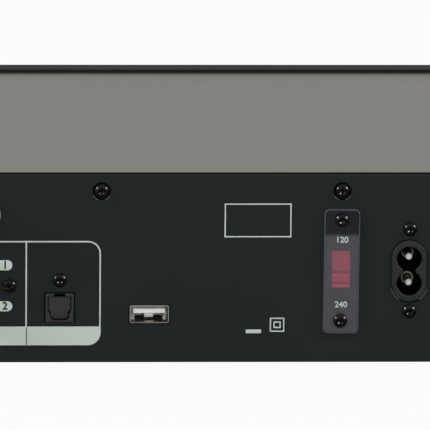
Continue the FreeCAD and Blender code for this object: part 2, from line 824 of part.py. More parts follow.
def make_fascia():
    """The thick front panel with its window, button and shaft openings."""
    fascia = new_body("front_panel")
    plate = draw_on(fascia, "XZ_Plane")
    rectangle(plate, zero, fascia_height / 2, fascia_width, fascia_height)
    pad(fascia, plate, fascia_thickness)
    soften(fascia, fascia_round, edges_on(fascia, y=-fascia_thickness))
    through = draw_on(fascia, "XZ_Plane")
    rectangle(through, window_offset, window_rise, window_width, window_height)
    for across in button_places:
        oblong(through, across, button_rise, button_length, button_height)
    circle(through, power_offset, control_height, power_radius)
    circle(through, knob_offset, control_height, bushing_radius + slip)
    pocket(fascia, through, fascia_thickness * 2, backwards=True)
    rebate = draw_on(fascia, "XZ_Plane")
    rim = window_rim * 2
    rectangle(rebate, window_offset, window_rise, window_width + rim, window_height + rim)
    pocket(fascia, rebate, rebate_depth, backwards=True)
    nut_room = draw_on(fascia, "XZ_Plane")
    circle(nut_room, knob_offset, control_height, nut_room_radius)
    pocket(fascia, nut_room, nut_height + slip * 2, backwards=True)
    blind = draw_on(fascia, "XZ_Plane")
    for across, up in fascia_screw_places:
        circle(blind, across, up, screw_radius + thread_gap)
    pocket(fascia, blind, screw_length - steel + slip * 2, backwards=True)
    put(fascia, 0, fascia_back, foot_height)
    keep(fascia)


def make_window():
    """The smoked lens, stepped so that it seats in the fascia's rebate from behind."""
    lens = new_body("display_window")
    flange = draw_on(lens, "XZ_Plane")
    spread = window_rim * 2 - slip
    rectangle(flange, zero, zero, window_width + spread, window_height + spread)
    pad(lens, flange, rebate_depth)
    face = draw_on(lens, "XZ_Plane")
    rectangle(face, zero, zero, window_width - slip, window_height - slip)
    pad(lens, face, fascia_thickness - window_sunk)
    put(lens, window_offset, fascia_back, foot_height + window_rise)
    keep(lens)


def make_display():
    """The display: a framed glass on its carrier, standing on the front board."""
    display = new_body("display_module")
    carrier = draw_on(display, "XZ_Plane")
    rectangle(carrier, zero, zero, window_width, window_height)
    pad(display, carrier, display_depth - display_glass)
    glass = draw_on(display, "XZ_Plane")
    rectangle(glass, zero, zero, window_width - display_frame * 2, window_height - display_frame * 2)
    pad(display, glass, display_depth)
    put(display, window_offset, fascia_back + steel + post_height, foot_height + window_rise)
    keep(display)


def make_front_board():
    """The front circuit board, behind the display and the switches."""
    plate = new_body("front_board")
    outline = draw_on(plate, "XZ_Plane")
    rectangle(outline, zero, front_board_rise + front_board_height / 2, front_board_width, front_board_height)
    for across, up in front_post_places:
        circle(outline, across, up, screw_radius + screw_gap)
    pad(plate, outline, board, backwards=True)
    put(plate, 0, fascia_back + steel + post_height, foot_height)
    keep(plate)


def make_switches():
    """Small push switches on the front board, each with a bore that takes a button's stem."""
    switch = new_body("switch_pattern")
    outline = draw_on(switch, "XZ_Plane")
    rectangle(outline, zero, zero, switch_width, switch_width)
    pad(switch, outline, switch_depth, backwards=True)
    bore = draw_on(switch, "XZ_Plane")
    circle(bore, zero, zero, stem_radius + stem_gap)
    pocket(switch, bore, switch_bore)
    level = fascia_back + switch_face
    places = [(across, level, foot_height + button_rise, "up") for across in button_places]
    places.append((power_offset, level, foot_height + control_height, "up"))
    group("push_switches", switch, places)


def make_button(name, across, up, outline, rim_outline):
    """A button cap with a rim behind the fascia and a stem into its switch."""
    cap = new_body(name)
    face = draw_on(cap, "XZ_Plane", -button_gap)
    outline(face)
    pad(cap, face, fascia_thickness + button_proud + button_gap)
    soften(cap, button_round, edges_on(cap, y=-fascia_thickness - button_proud))
    rim = draw_on(cap, "XZ_Plane", -button_gap)
    rim_outline(rim)
    pad(cap, rim, button_rim, backwards=True)
    stem = draw_on(cap, "XZ_Plane", -button_gap)
    circle(stem, zero, zero, stem_radius)
    pad(cap, stem, switch_face - button_gap + switch_bore / 2, backwards=True)
    put(cap, across, fascia_back, foot_height + up)
    keep(cap)


def make_buttons():
    """Five pill buttons under the window and the round power button."""
    def pill(drawing):
        oblong(drawing, zero, zero, button_length - button_gap * 2, button_height - button_gap * 2)

    def pill_rim(drawing):
        oblong(drawing, zero, zero, button_length + button_rim, button_height + button_rim)

    def disc(drawing):
        circle(drawing, zero, zero, power_radius - button_gap)

    def disc_rim(drawing):
        circle(drawing, zero, zero, power_radius + button_rim)

    for name, across in zip(button_names, button_places):
        make_button(name, across, button_rise, pill, pill_rim)
    make_button("power_button", power_offset, control_height, disc, disc_rim)


def make_knob():
    """The tuning knob: a turned cap with a hub that grips the shaft."""
    knob = new_body("tuning_knob")
    profile = draw_on(knob, "YZ_Plane")
    front, back = -knob_reach, -knob_gap
    bore = shaft_radius + press_gap
    inside = knob_radius - knob_wall
    polygon(profile, [
        (front, zero), (front, knob_radius - knob_edge), (front + knob_edge, knob_radius),
        (back, knob_radius), (back, inside), (front + knob_wall, inside),
        (front + knob_wall, hub_radius), (back, hub_radius), (back, bore),
        (front + knob_wall * 2, bore), (front + knob_wall * 2, zero),
    ])
    revolve(knob, profile, "H_Axis")
    put(knob, knob_offset, fascia_back - fascia_thickness, foot_height + control_height)
    keep(knob)


def make_encoder():
    """The rotary encoder on the front board: case with bushing, shaft and nut."""
    seat = steel + post_height
    case = new_body("tuning_encoder")
    outline = draw_on(case, "XZ_Plane", -seat)
    rectangle(outline, zero, zero, encoder_width, encoder_width)
    pad(case, outline, encoder_depth)
    neck = draw_on(case, "XZ_Plane", -seat)
    circle(neck, zero, zero, bushing_radius)
    pad(case, neck, seat + bushing_reach)
    bore = draw_on(case, "XZ_Plane", bushing_reach)
    circle(bore, zero, zero, shaft_radius + shaft_gap)
    pocket(case, bore, bushing_reach + seat - board)
    put(case, knob_offset, fascia_back, foot_height + control_height)
    keep(case)

    shaft_start = fascia_back + seat - board * 2
    shaft_length = seat - board * 2 + fascia_thickness + knob_reach - knob_wall * 2 - slip
    shaft = rod("encoder_shaft", knob_offset, shaft_start, foot_height + control_height,
                shaft_radius, shaft_length, "front")
    keep(shaft, "encoder_shaft")

    nut = new_body("encoder_nut")
    outline = draw_on(nut, "XZ_Plane")
    hexagon(outline, zero, zero, nut_flats)
    circle(outline, zero, zero, bushing_radius + thread_gap)
    pad(nut, outline, nut_height)
    put(nut, knob_offset, fascia_back, foot_height + control_height)
    keep(nut)


def make_board(name, offset, width, depth, setback, holes):
    """A horizontal circuit board on four posts, its rear edge just inside the rear panel."""
    plate = new_body(name)
    outline = draw_on(plate, "XY_Plane")
    rectangle(outline, zero, -depth / 2, width, depth)
    pad(plate, outline, board)
    rear = rear_inner - setback
    drilled = draw_on(plate, "XY_Plane")
    for across, along in holes:
        circle(drilled, across - offset, along - rear, screw_radius + screw_gap)
    pocket(plate, drilled, board * 2, backwards=True)
    put(plate, offset, rear, board_level)
    keep(plate)


def make_posts():
    """Threaded posts under both boards, and tall ones under the tuner module."""
    post = new_body("post_pattern")
    outline = draw_on(post, "XY_Plane")
    circle(outline, zero, zero, post_radius)
    circle(outline, zero, zero, screw_radius + thread_gap)
    pad(post, outline, post_height)
    places = [(across, along, foot_height + steel, "up") for across, along in main_posts + power_posts]
    for across, up in front_post_places:
        places.append((across, fascia_back + steel, foot_height + up, "rear"))
    group("board_posts", post, places)

    tall = new_body("tall_post_pattern")
    outline = draw_on(tall, "XY_Plane")
    circle(outline, zero, zero, post_radius)
    pad(tall, outline, foot_height + antenna_rise - shield_height / 2 - board_top)
    rear = rear_inner - antenna_flange_depth
    places = []
    for side in (-1, 1):
        for along in (rear - jack_block_depth - post_radius, rear - shield_depth + post_radius):
            places.append((antenna_offset + (shield_width / 2 - post_radius) * side, along, board_top, "up"))
    group("tuner_posts", tall, places)


def make_tuner():
    """The screened tuner module, held to the rear panel by its antenna socket."""
    rear = rear_inner - antenna_flange_depth
    bottom = foot_height + antenna_rise - shield_height / 2
    outside = block("shield_outside", antenna_offset, rear - shield_depth / 2, bottom,
                    shield_width, shield_depth, shield_height)
    inside = block("shield_inside", antenna_offset, rear - shield_depth / 2, bottom - shield_wall,
                   shield_width - shield_wall * 2, shield_depth - shield_wall * 2, shield_height)
    keep(cut("tuner_module", outside, [inside]), "tuner_module")

    socket = new_body("antenna_socket")
    profile = draw_on(socket, "YZ_Plane")
    back, front = -rear_steel - antenna_flange_depth, jack_reach
    neck = antenna_radius - neck_step
    polygon(profile, [
        (back, zero), (back, antenna_flange), (-rear_steel, antenna_flange), (-rear_steel, neck),
        (antenna_nut_height, neck), (antenna_nut_height, antenna_radius),
        (front - rim_bevel, antenna_radius), (front, antenna_radius - rim_bevel), (front, antenna_bore),
        (zero, antenna_bore), (zero, zero),
    ])
    revolve(socket, profile, "H_Axis")
    put(socket, antenna_offset, rear_face, foot_height + antenna_rise)
    keep(socket)

    insulator = new_body("antenna_insulator")
    profile = draw_on(insulator, "YZ_Plane")
    core, sleeve, mouth = antenna_pin, antenna_bore - press_gap, front - rim_bevel
    polygon(profile, [(zero, core), (zero, sleeve), (mouth, sleeve), (mouth, core)])
    revolve(insulator, profile, "H_Axis")
    put(insulator, antenna_offset, rear_face, foot_height + antenna_rise)
    keep(insulator)

    nut = new_body("antenna_nut")
    outline = draw_on(nut, "XZ_Plane")
    hexagon(outline, zero, zero, antenna_nut_flats)
    circle(outline, zero, zero, neck + thread_gap)
    pad(nut, outline, antenna_nut_height, backwards=True)
    put(nut, antenna_offset, rear_face, foot_height + antenna_rise)
    keep(nut)


def make_audio_jacks():
    """The stacked pair of audio jacks: one moulded block, two coloured rings and two metal shells."""
    top = foot_height + left_rise + insulator_radius + jack_block_margin
    body = block("jack_block_body", audio_offset, rear_inner - jack_block_depth / 2, board_top,
                 jack_block_width, jack_block_depth, top - board_top)
    tools = []
    for index, up in enumerate((left_rise, right_rise)):
        tools.append(rod(f"jack_hole_{index}", audio_offset, rear_inner - ring_seat, foot_height + up,
                         insulator_radius + press_gap, ring_seat * 2, "rear"))
    tools.append(rod("jack_screw_hole", jack_screw_offset, rear_inner - small_length,
                     foot_height + jack_screw_rise, small_radius + thread_gap, small_length * 2, "rear"))
    keep(cut("audio_jack_block", body, tools), "audio_jack_block")

    ring = new_body("ring_pattern")
    profile = draw_on(ring, "YZ_Plane")
    back, seat = -rear_steel - ring_seat, -rear_steel - ring_seat / 2
    bore = jack_radius - neck_step + press_gap
    bevel = rim_bevel / 2
    polygon(profile, [
        (back, zero), (back, insulator_radius), (insulator_proud - bevel, insulator_radius),
        (insulator_proud, insulator_radius - bevel), (insulator_proud, bore), (seat, bore), (seat, zero),
    ])
    revolve(ring, profile, "H_Axis")
    for name, up in (("left_jack_ring", left_rise), ("right_jack_ring", right_rise)):
        link = doc.addObject("App::Link", f"{name}_link")
        link.LinkedObject = ring
        put(link, audio_offset, rear_face, foot_height + up)
        item = doc.addObject("Part::Compound", name)
        item.Links = [link]
        keep(item, name)

    shell = new_body("shell_pattern")
    profile = draw_on(shell, "YZ_Plane")
    front, inside = jack_length, jack_length - jack_sunk
    neck = jack_radius - neck_step
    polygon(profile, [
        (seat, zero), (seat, neck), (insulator_proud, neck), (insulator_proud, jack_radius),
        (front - rim_bevel, jack_radius), (front, jack_radius - rim_bevel),
        (front, jack_bore + rim_bevel), (front - rim_bevel, jack_bore), (inside, jack_bore),
        (inside, jack_socket), (zero, jack_socket), (zero, zero),
    ])
    revolve(shell, profile, "H_Axis")
    group("audio_jack_shells", shell,
          [(audio_offset, rear_face, foot_height + up, "up") for up in (left_rise, right_rise)])


def make_optical():
    """The optical output: a square socket with a keyed mouth, a sprung flap behind it and a lens."""
    socket = new_body("optical_socket")
    outline = draw_on(socket, "XZ_Plane", -optical_proud)
    rectangle(outline, zero, zero, optical_width, optical_width)
    pad(socket, outline, optical_depth + optical_proud)
    base = draw_on(socket, "XZ_Plane", rear_steel)
    low = board_top - foot_height - optical_rise
    rectangle(base, zero, low / 2, optical_width, -low)
    pad(socket, base, optical_depth - rear_steel)
    ear = draw_on(socket, "XZ_Plane", rear_steel)
    ear_level = optical_screw_rise - optical_rise
    rectangle(ear, zero, ear_level / 2 + small_head_radius, ear_width, ear_level)
    pad(socket, ear, ear_depth)
    tapped = draw_on(socket, "XZ_Plane", rear_steel)
    circle(tapped, zero, ear_level, small_radius + thread_gap)
    pocket(socket, tapped, ear_depth, backwards=True)

    mouth = draw_on(socket, "XZ_Plane", -optical_proud)
    side, top, bottom = mouth_width / 2, mouth_top, mouth_top - mouth_height
    polygon(mouth, [
        (-side, top), (-side, bottom + mouth_corner), (-side + mouth_corner, bottom),
        (side - mouth_corner, bottom), (side, bottom + mouth_corner), (side, top),
    ])
    pocket(socket, mouth, optical_proud + shutter_setback, backwards=True)
    notch = draw_on(socket, "XZ_Plane", -optical_proud)
    rectangle(notch, zero, top + notch_depth / 2, notch_width, notch_depth)
    pocket(socket, notch, optical_proud + notch_depth, backwards=True)
    room = draw_on(socket, "XZ_Plane", shutter_setback)
    room_side = side + shutter_gap
    room_top, room_bottom = top + shutter_pin * 2, bottom - shutter_gap
    polygon(room, [
        (-room_side, room_top), (-room_side, room_bottom), (room_side, room_bottom), (room_side, room_top),
    ])
    pocket(socket, room, room_depth, backwards=True)
    pin_level = top + shutter_pin - shutter_gap
    pin_depth = shutter_setback + shutter_pin + shutter_gap
    bearing = draw_on(socket, "YZ_Plane")
    circle(bearing, -pin_depth, pin_level, shutter_pin + shaft_gap)
    pocket(socket, bearing, (room_side + pin_seat + shaft_gap) * 2, symmetric=True)
    put(socket, optical_offset, rear_face, foot_height + optical_rise)
    keep(socket)

    flap = new_body("optical_shutter")
    plate = draw_on(flap, "XZ_Plane", -shutter_thickness / 2)
    flap_low = room_bottom + shutter_gap - pin_level
    rectangle(plate, zero, flap_low / 2, mouth_width, -flap_low)
    pad(flap, plate, shutter_thickness)
    pin = draw_on(flap, "YZ_Plane", -room_side - pin_seat)
    circle(pin, zero, zero, shutter_pin)
    pad(flap, pin, (room_side + pin_seat) * 2)
    put(flap, optical_offset, rear_face - pin_depth, foot_height + optical_rise + pin_level)
    keep(flap)

    lens = rod("optical_lens", optical_offset, rear_face - shutter_setback - room_depth,
               foot_height + optical_rise + mouth_top - mouth_height / 2, lens_radius, lens_length, "rear")
    keep(lens, "optical_lens")


def make_usb():
    """The flat data port: a folded metal shell, a tongue on its rear block and four contacts."""
    inner_width, inner_height = usb_width - usb_wall * 2, usb_height - usb_wall * 2
    shell = new_body("usb_shell")
    outline = draw_on(shell, "XZ_Plane", -usb_proud)
    rectangle(outline, zero, zero, usb_width, usb_height)
    rectangle(outline, zero, zero, inner_width, inner_height)
    pad(shell, outline, usb_depth)
    put(shell, usb_offset, rear_face, foot_height + usb_rise)
    keep(shell)

    tongue = new_body("usb_tongue")
    level = inner_height / 2 - tongue_drop - tongue_thickness / 2
    rear_block = draw_on(tongue, "XZ_Plane", usb_depth - usb_proud)
    rectangle(rear_block, zero, zero, inner_width - thread_gap, inner_height - thread_gap)
    pad(tongue, rear_block, tongue_base, backwards=True)
    blade = draw_on(tongue, "XZ_Plane", usb_depth - usb_proud)
    rectangle(blade, zero, level, tongue_width, tongue_thickness)
    pad(tongue, blade, usb_depth - tongue_setback, backwards=True)
    put(tongue, usb_offset, rear_face, foot_height + usb_rise)
    keep(tongue)

    strip = new_body("contact_pattern")
    outline = draw_on(strip, "XY_Plane")
    rectangle(outline, zero, -contact_length / 2, contact_width, contact_length)
    pad(strip, outline, contact_thickness)
    under = foot_height + usb_rise + level - tongue_thickness / 2 - contact_thickness
    start = rear_face + usb_proud - tongue_setback - contact_width
    places = [(usb_offset + contact_pitch * step, start, under, "up") for step in (-1.5, -0.5, 0.5, 1.5)]
    group("usb_contacts", strip, places)


def make_selector():
    """The mains voltage selector: switch body behind the panel, red slider and clear guard plate."""
    travel = aperture_height - nub_height - nub_gap * 2
    slider_height = nub_height + (travel + nub_gap + slip) * 2
    room_height = slider_height + travel + slip * 2
    slider_width = aperture_width + selector_wall
    switch = new_body("voltage_switch")
    ears = draw_on(switch, "XZ_Plane")
    rectangle(ears, zero, -aperture_shift, selector_body_width, selector_screw_pitch + small_head_radius * 2)
    pad(switch, ears, flange_thickness)
    case = draw_on(switch, "XZ_Plane")
    rectangle(case, zero, zero, selector_body_width, room_height + selector_wall * 2)
    pad(switch, case, selector_body_depth)
    room = draw_on(switch, "XZ_Plane")
    rectangle(room, zero, zero, slider_width + slip * 2, room_height)
    pocket(switch, room, slider_thickness + slip * 2, backwards=True)
    tapped = draw_on(switch, "XZ_Plane")
    for side in (-1, 1):
        circle(tapped, zero, selector_screw_pitch * side / 2 - aperture_shift, small_radius + thread_gap)
    pocket(switch, tapped, flange_thickness, backwards=True)
    put(switch, selector_offset, rear_inner, foot_height + selector_level)
    keep(switch)

    slider = new_body("voltage_slider")
    plate = draw_on(slider, "XZ_Plane")
    rectangle(plate, zero, zero, slider_width, slider_height)
    pad(slider, plate, slider_thickness)
    nub = draw_on(slider, "XZ_Plane")
    rectangle(nub, zero, zero, aperture_width - slip * 2, nub_height)
    pad(slider, nub, rear_steel + slip / 2 - nub_sunk, backwards=True)
    ribs = draw_on(slider, "XZ_Plane", -rear_steel - slip / 2 + nub_sunk)
    for step in (-1, 0, 1):
        rectangle(ribs, zero, rib_pitch * step, aperture_width, rib_width)
    pocket(slider, ribs, rib_depth, backwards=True)
    rest_level = selector_level - travel / 2
    put(slider, selector_offset, rear_inner - slip / 2, foot_height + rest_level)
    keep(slider)

    guard = new_body("selector_cover")
    outline = draw_on(guard, "XZ_Plane")
    rectangle(outline, zero, zero, plate_width, plate_height)
    for side in (-1, 1):
        circle(outline, zero, selector_screw_pitch * side / 2, small_radius + screw_gap)
    pad(guard, outline, plate_thickness, backwards=True)
    for side in (-1, 1):
        for end in (-1, 1):
            soften(guard, plate_corner, edges_on(guard, x=plate_width * side / 2, z=plate_height * end / 2))
    put(guard, selector_offset, rear_face, foot_height + selector_rise)
    keep(guard)


def make_inlet():
    """The two-pin mains inlet, screwed behind the panel, with a figure-eight recess."""
    inlet = new_body("mains_inlet")
    nose = draw_on(inlet, "XZ_Plane", -inlet_proud)
    oblong(nose, zero, zero, inlet_width, inlet_height)
    pad(inlet, nose, inlet_depth + inlet_proud)
    flange = draw_on(inlet, "XZ_Plane", rear_steel)
    oblong(flange, zero, zero, inlet_width + flange_margin * 2, inlet_screw_pitch + flange_margin * 2)
    pad(inlet, flange, flange_thickness)
    tapped = draw_on(inlet, "XZ_Plane", rear_steel)
    for side in (-1, 1):
        circle(tapped, zero, inlet_screw_pitch * side / 2, small_radius + thread_gap)
    pocket(inlet, tapped, flange_thickness, backwards=True)
    lobe = (inlet_recess_height - inlet_lobe) / 2
    for side in (-1, 1):
        recess = draw_on(inlet, "XZ_Plane", -inlet_proud)
        circle(recess, zero, lobe * side, inlet_lobe / 2)
        pocket(inlet, recess, inlet_recess_depth, backwards=True)
    waist = draw_on(inlet, "XZ_Plane", -inlet_proud)
    rectangle(waist, zero, zero, inlet_waist, lobe * 2)
    pocket(inlet, waist, inlet_recess_depth, backwards=True)
    bores = draw_on(inlet, "XZ_Plane", -inlet_proud)
    for side in (-1, 1):
        circle(bores, zero, pin_pitch * side / 2, pin_radius + thread_gap)
    pocket(inlet, bores, (inlet_depth + inlet_proud) * 2, backwards=True)
    put(inlet, inlet_offset, rear_face, foot_height + inlet_rise)
    keep(inlet)

    pin = new_body("pin_pattern")
    profile = draw_on(pin, "YZ_Plane")
    tip, tail = inlet_proud - inlet_recess_depth + pin_reach, -inlet_depth - tail_length
    polygon(profile, [
        (tail, zero), (tail, pin_radius), (tip - pin_nose, pin_radius),
        (tip - pin_nose / 3, (pin_radius + pin_crown) / 2), (tip, pin_crown), (tip, zero),
    ])
    revolve(pin, profile, "H_Axis")
    places = []
    for side in (-1, 1):
        places.append((inlet_offset, rear_face, foot_height + inlet_rise + pin_pitch * side / 2, "up"))
    group("inlet_pins", pin, places)


def make_lead(name, start_y, start_z, run, drop):
    """A round lead that runs forwards, bends once and drops; its own origin is its start."""
    lead = new_body(name)
    route = draw_on(lead, "YZ_Plane")
    first = line(route, (zero, zero), (-run + lead_bend, zero))
    bend = arc(route, -run + lead_bend, -lead_bend, lead_bend, 90, 180)
    second = line(route, (-run, -lead_bend), (-run, -drop))
    fix_point(route, first, START, zero, zero)
    fix_point(route, first, END, -run + lead_bend, zero)
    fix_point(route, second, START, -run, -lead_bend)
    fix_point(route, second, END, -run, -drop)
    route.addConstraint(Sketcher.Constraint("Coincident", bend, START, first, END))
    route.addConstraint(Sketcher.Constraint("Coincident", bend, END, second, START))
    fix_radius(route, bend, lead_bend)
    section = draw_on(lead, "XZ_Plane")
    circle(section, zero, zero, lead_radius)
    sweep = lead.newObject("PartDesign::AdditivePipe", f"{name}_pipe")
    sweep.Profile = section
    sweep.Spine = (route, ["Edge1", "Edge2", "Edge3"])
    put(lead, inlet_offset, start_y, start_z)
    doc.recompute()
    length = run - lead_bend + drop - lead_bend + lead_bend * (math.pi / 2)
    expected = math.pi * lead_radius.value ** 2 * length.value
    if not math.isclose(lead.Shape.Volume, expected, rel_tol=0.01):
        raise RuntimeError(f"{name} has not the volume of its section along its length")
    return lead


def make_leads():
    """The two mains leads, from the inlet's tails down to the power board."""
    start_y = rear_face - inlet_depth - tail_length
    leads = []
    for index, side in enumerate((-1, 1)):
        level = foot_height + inlet_rise + pin_pitch * side / 2
        run = lead_run + lead_step * index
        leads.append(make_lead(f"lead_{index}", start_y, level, run, level - board_top))
    item = doc.addObject("Part::Compound", "mains_leads")
    item.Links = leads
    keep(item, "mains_leads")


def make_transformer():
    """The mains transformer: laminated core, bobbin, taped winding and a strap with ears."""
    middle = rear_face - core_setback
    floor = foot_height + steel
    window_across = (core_width - core_leg * 4) / 2
    window_up = core_height - core_leg * 2
    core = new_body("transformer_core")
    outline = draw_on(core, "XZ_Plane", -core_stack / 2)
    rectangle(outline, zero, core_height / 2, core_width, core_height)
    for side in (-1, 1):
        rectangle(outline, (core_leg + window_across / 2) * side, core_height / 2, window_across, window_up)
    pad(core, outline, core_stack)
    put(core, core_offset, middle, floor)
    keep(core)

    bobbin = new_body("transformer_bobbin")
    wide = core_leg * 2 + window_across * 2 - slip * 2
    deep = core_stack + bobbin_swell * 2
    hole_wide, hole_deep = core_leg * 2 + slip, core_stack + slip
    tube_wide, tube_deep = hole_wide + bobbin_wall * 2, hole_deep + bobbin_wall * 2
    low, high = core_leg + slip / 2, core_height - core_leg - slip / 2
    for level, length, outer_wide, outer_deep in (
        (low, bobbin_wall, wide, deep),
        (low, high - low, tube_wide, tube_deep),
        (high - bobbin_wall, bobbin_wall, wide, deep),
    ):
        storey = draw_on(bobbin, "XY_Plane", level)
        rectangle(storey, zero, zero, outer_wide, outer_deep)
        rectangle(storey, zero, zero, hole_wide, hole_deep)
        pad(bobbin, storey, length)
    put(bobbin, core_offset, middle, floor)
    keep(bobbin)

    winding = new_body("transformer_winding")
    ring = draw_on(winding, "XY_Plane", low + bobbin_wall + thread_gap)
    rectangle(ring, zero, zero, wide - slip * 2, deep - slip * 2)
    rectangle(ring, zero, zero, tube_wide + slip, tube_deep + slip)
    pad(winding, ring, high - low - bobbin_wall * 2 - thread_gap * 2)
    put(winding, core_offset, middle, floor)
    keep(winding)

    bracket = new_body("transformer_bracket")
    band = draw_on(bracket, "XZ_Plane", -strap_width / 2)
    inner, top = core_width / 2 + thread_gap, core_height + thread_gap
    outer, ear = inner + strap, inner + strap + ear_length
    polygon(band, [
        (-ear, zero), (-inner, zero), (-inner, top), (inner, top), (inner, zero), (ear, zero),
        (ear, strap), (outer, strap), (outer, top + strap), (-outer, top + strap),
        (-outer, strap), (-ear, strap),
    ])
    pad(bracket, band, strap_width)
    holes = draw_on(bracket, "XY_Plane")
    for side in (-1, 1):
        circle(holes, core_ear_spread * side / 2, zero, screw_radius + screw_gap)
    pocket(bracket, holes, strap, backwards=True)
    put(bracket, core_offset, middle, floor)
    keep(bracket)


def make_supply():
    """What stands on the power board: capacitors, heat sink with its regulator, and the fuse."""
    can = new_body("can_pattern")
    profile = draw_on(can, "XZ_Plane")
    polygon(profile, [
        (zero, zero), (can_radius, zero), (can_radius, groove_rise),
        (can_radius - groove_depth, groove_rise + groove_height / 2),
        (can_radius, groove_rise + groove_height), (can_radius, can_height - can_edge),
        (can_radius - can_edge, can_height), (zero, can_height),
    ])
    revolve(can, profile, "V_Axis")
    places = []
    for step in (0, 1):
        places.append((can_offset - can_pitch * step, rear_face - can_setback, board_top, "up"))
    group("filter_capacitors", can, places)

    sink = new_body("heat_sink")
    outline = draw_on(sink, "XY_Plane")
    count = int(fin_count.value)
    gap = (sink_width - fin_thickness * count) / (count - 1)
    corners = [(zero, zero), (sink_width, zero)]
    for index in reversed(range(count)):
        left = (fin_thickness + gap) * index
        right = left + fin_thickness
        tip = -sink_base - fin_reach
        corners += [(right, -sink_base), (right, tip), (left, tip), (left, -sink_base)]
    in_line = (2, len(corners) - 1)
    polygon(outline, [corner for number, corner in enumerate(corners) if number not in in_line])
    pad(sink, outline, sink_height)
    put(sink, sink_offset - sink_width / 2, rear_face - sink_setback, board_top)
    keep(sink)

    middle = rear_face - sink_setback + regulator_thickness / 2
    chip = block("regulator_body", sink_offset, middle, board_top + leg_length,
                 regulator_width, regulator_thickness, regulator_height)
    legs = []
    for step in (-1, 0, 1):
        legs.append(block(f"regulator_leg_{step + 1}", sink_offset + leg_pitch * step, middle, board_top,
                          leg_width, leg_width, leg_length + leg_width))
    keep(join("regulator", [chip] + legs), "regulator")

    level = board_top + fuse_radius + clip_wall + slip
    front = rear_face - fuse_setback - fuse_length
    keep(rod("fuse", fuse_offset, front, level, fuse_radius, fuse_length, "rear"), "fuse")
    clips = []
    for index, start in enumerate((front, front + fuse_length - clip_length)):
        width = (fuse_radius + clip_wall) * 2
        body = block(f"clip_body_{index}", fuse_offset, start + clip_length / 2, board_top,
                     width, clip_length, level - board_top + clip_rise)
        bore = rod(f"clip_bore_{index}", fuse_offset, start - slip, level, fuse_radius + press_gap,
                   clip_length + slip * 2, "rear")
        clips.append(cut(f"clip_{index}", body, [bore]))
    item = doc.addObject("Part::Compound", "fuse_clips")
    item.Links = clips
    keep(item, "fuse_clips")


def make_ribbon():
    """The flat cable from the main board to the front board, and a header at each end."""
    across = main_offset - main_width / 2 + post_inset * 2 + ribbon_width / 2
    start = rear_inner - main_setback - main_depth + header_depth
    header_top = board_top + header_height
    level = header_top + ribbon_rise
    board_back = fascia_back + steel + post_height + board
    reach = start - board_back - header_height
    ribbon = new_body("ribbon_cable")
    outline = draw_on(ribbon, "YZ_Plane", -ribbon_width / 2)
    half = ribbon_thickness / 2
    polygon(outline, [
        (-half, zero), (half, zero), (half, ribbon_rise + half), (-reach, ribbon_rise + half),
        (-reach, ribbon_rise - half), (-half, ribbon_rise - half),
    ])
    pad(ribbon, outline, ribbon_width)
    soften(ribbon, ribbon_bend, edges_on(ribbon, y=-half, z=ribbon_rise - half))
    soften(ribbon, ribbon_bend + ribbon_thickness, edges_on(ribbon, y=half, z=ribbon_rise + half))
    put(ribbon, across, start, header_top)
    keep(ribbon)
    width = ribbon_width + header_margin * 2
    lower = block("lower_header", across, start, board_top, width, header_depth, header_height)
    upper = block("upper_header", across, board_back + header_height / 2, level - header_depth / 2,
                  width, header_height, header_depth)
    item = doc.addObject("Part::Compound", "ribbon_headers")
    item.Links = [lower, upper]
    keep(item, "ribbon_headers")


def make_feet():
    """Four round feet, each with a rubber disc let into its base."""
    foot = new_body("foot_pattern")
    base = pad_height - pad_sunk
    profile = draw_on(foot, "XZ_Plane")
    polygon(profile, [
        (pad_radius + cut_gap, base), (foot_radius - foot_taper - foot_edge, base),
        (foot_radius - foot_taper, base + foot_edge), (foot_radius, foot_height - foot_band),
        (foot_radius, foot_height), (screw_radius + screw_gap, foot_height),
        (screw_radius + screw_gap, foot_height - foot_wall),
        (head_radius + screw_gap, foot_height - foot_wall),
        (head_radius + screw_gap, pad_height), (pad_radius + cut_gap, pad_height),
    ])
    revolve(foot, profile, "V_Axis")
    places = [(across, fascia_back + along, zero, "up") for across, along in foot_places]
    group("feet", foot, places)

    disc = new_body("pad_pattern")
    profile = draw_on(disc, "XZ_Plane")
    polygon(profile, [
        (zero, zero), (pad_radius - pad_bevel, zero), (pad_radius, pad_bevel),
        (pad_radius, pad_height), (zero, pad_height),
    ])
    revolve(disc, profile, "V_Axis")
    group("foot_pads", disc, places)


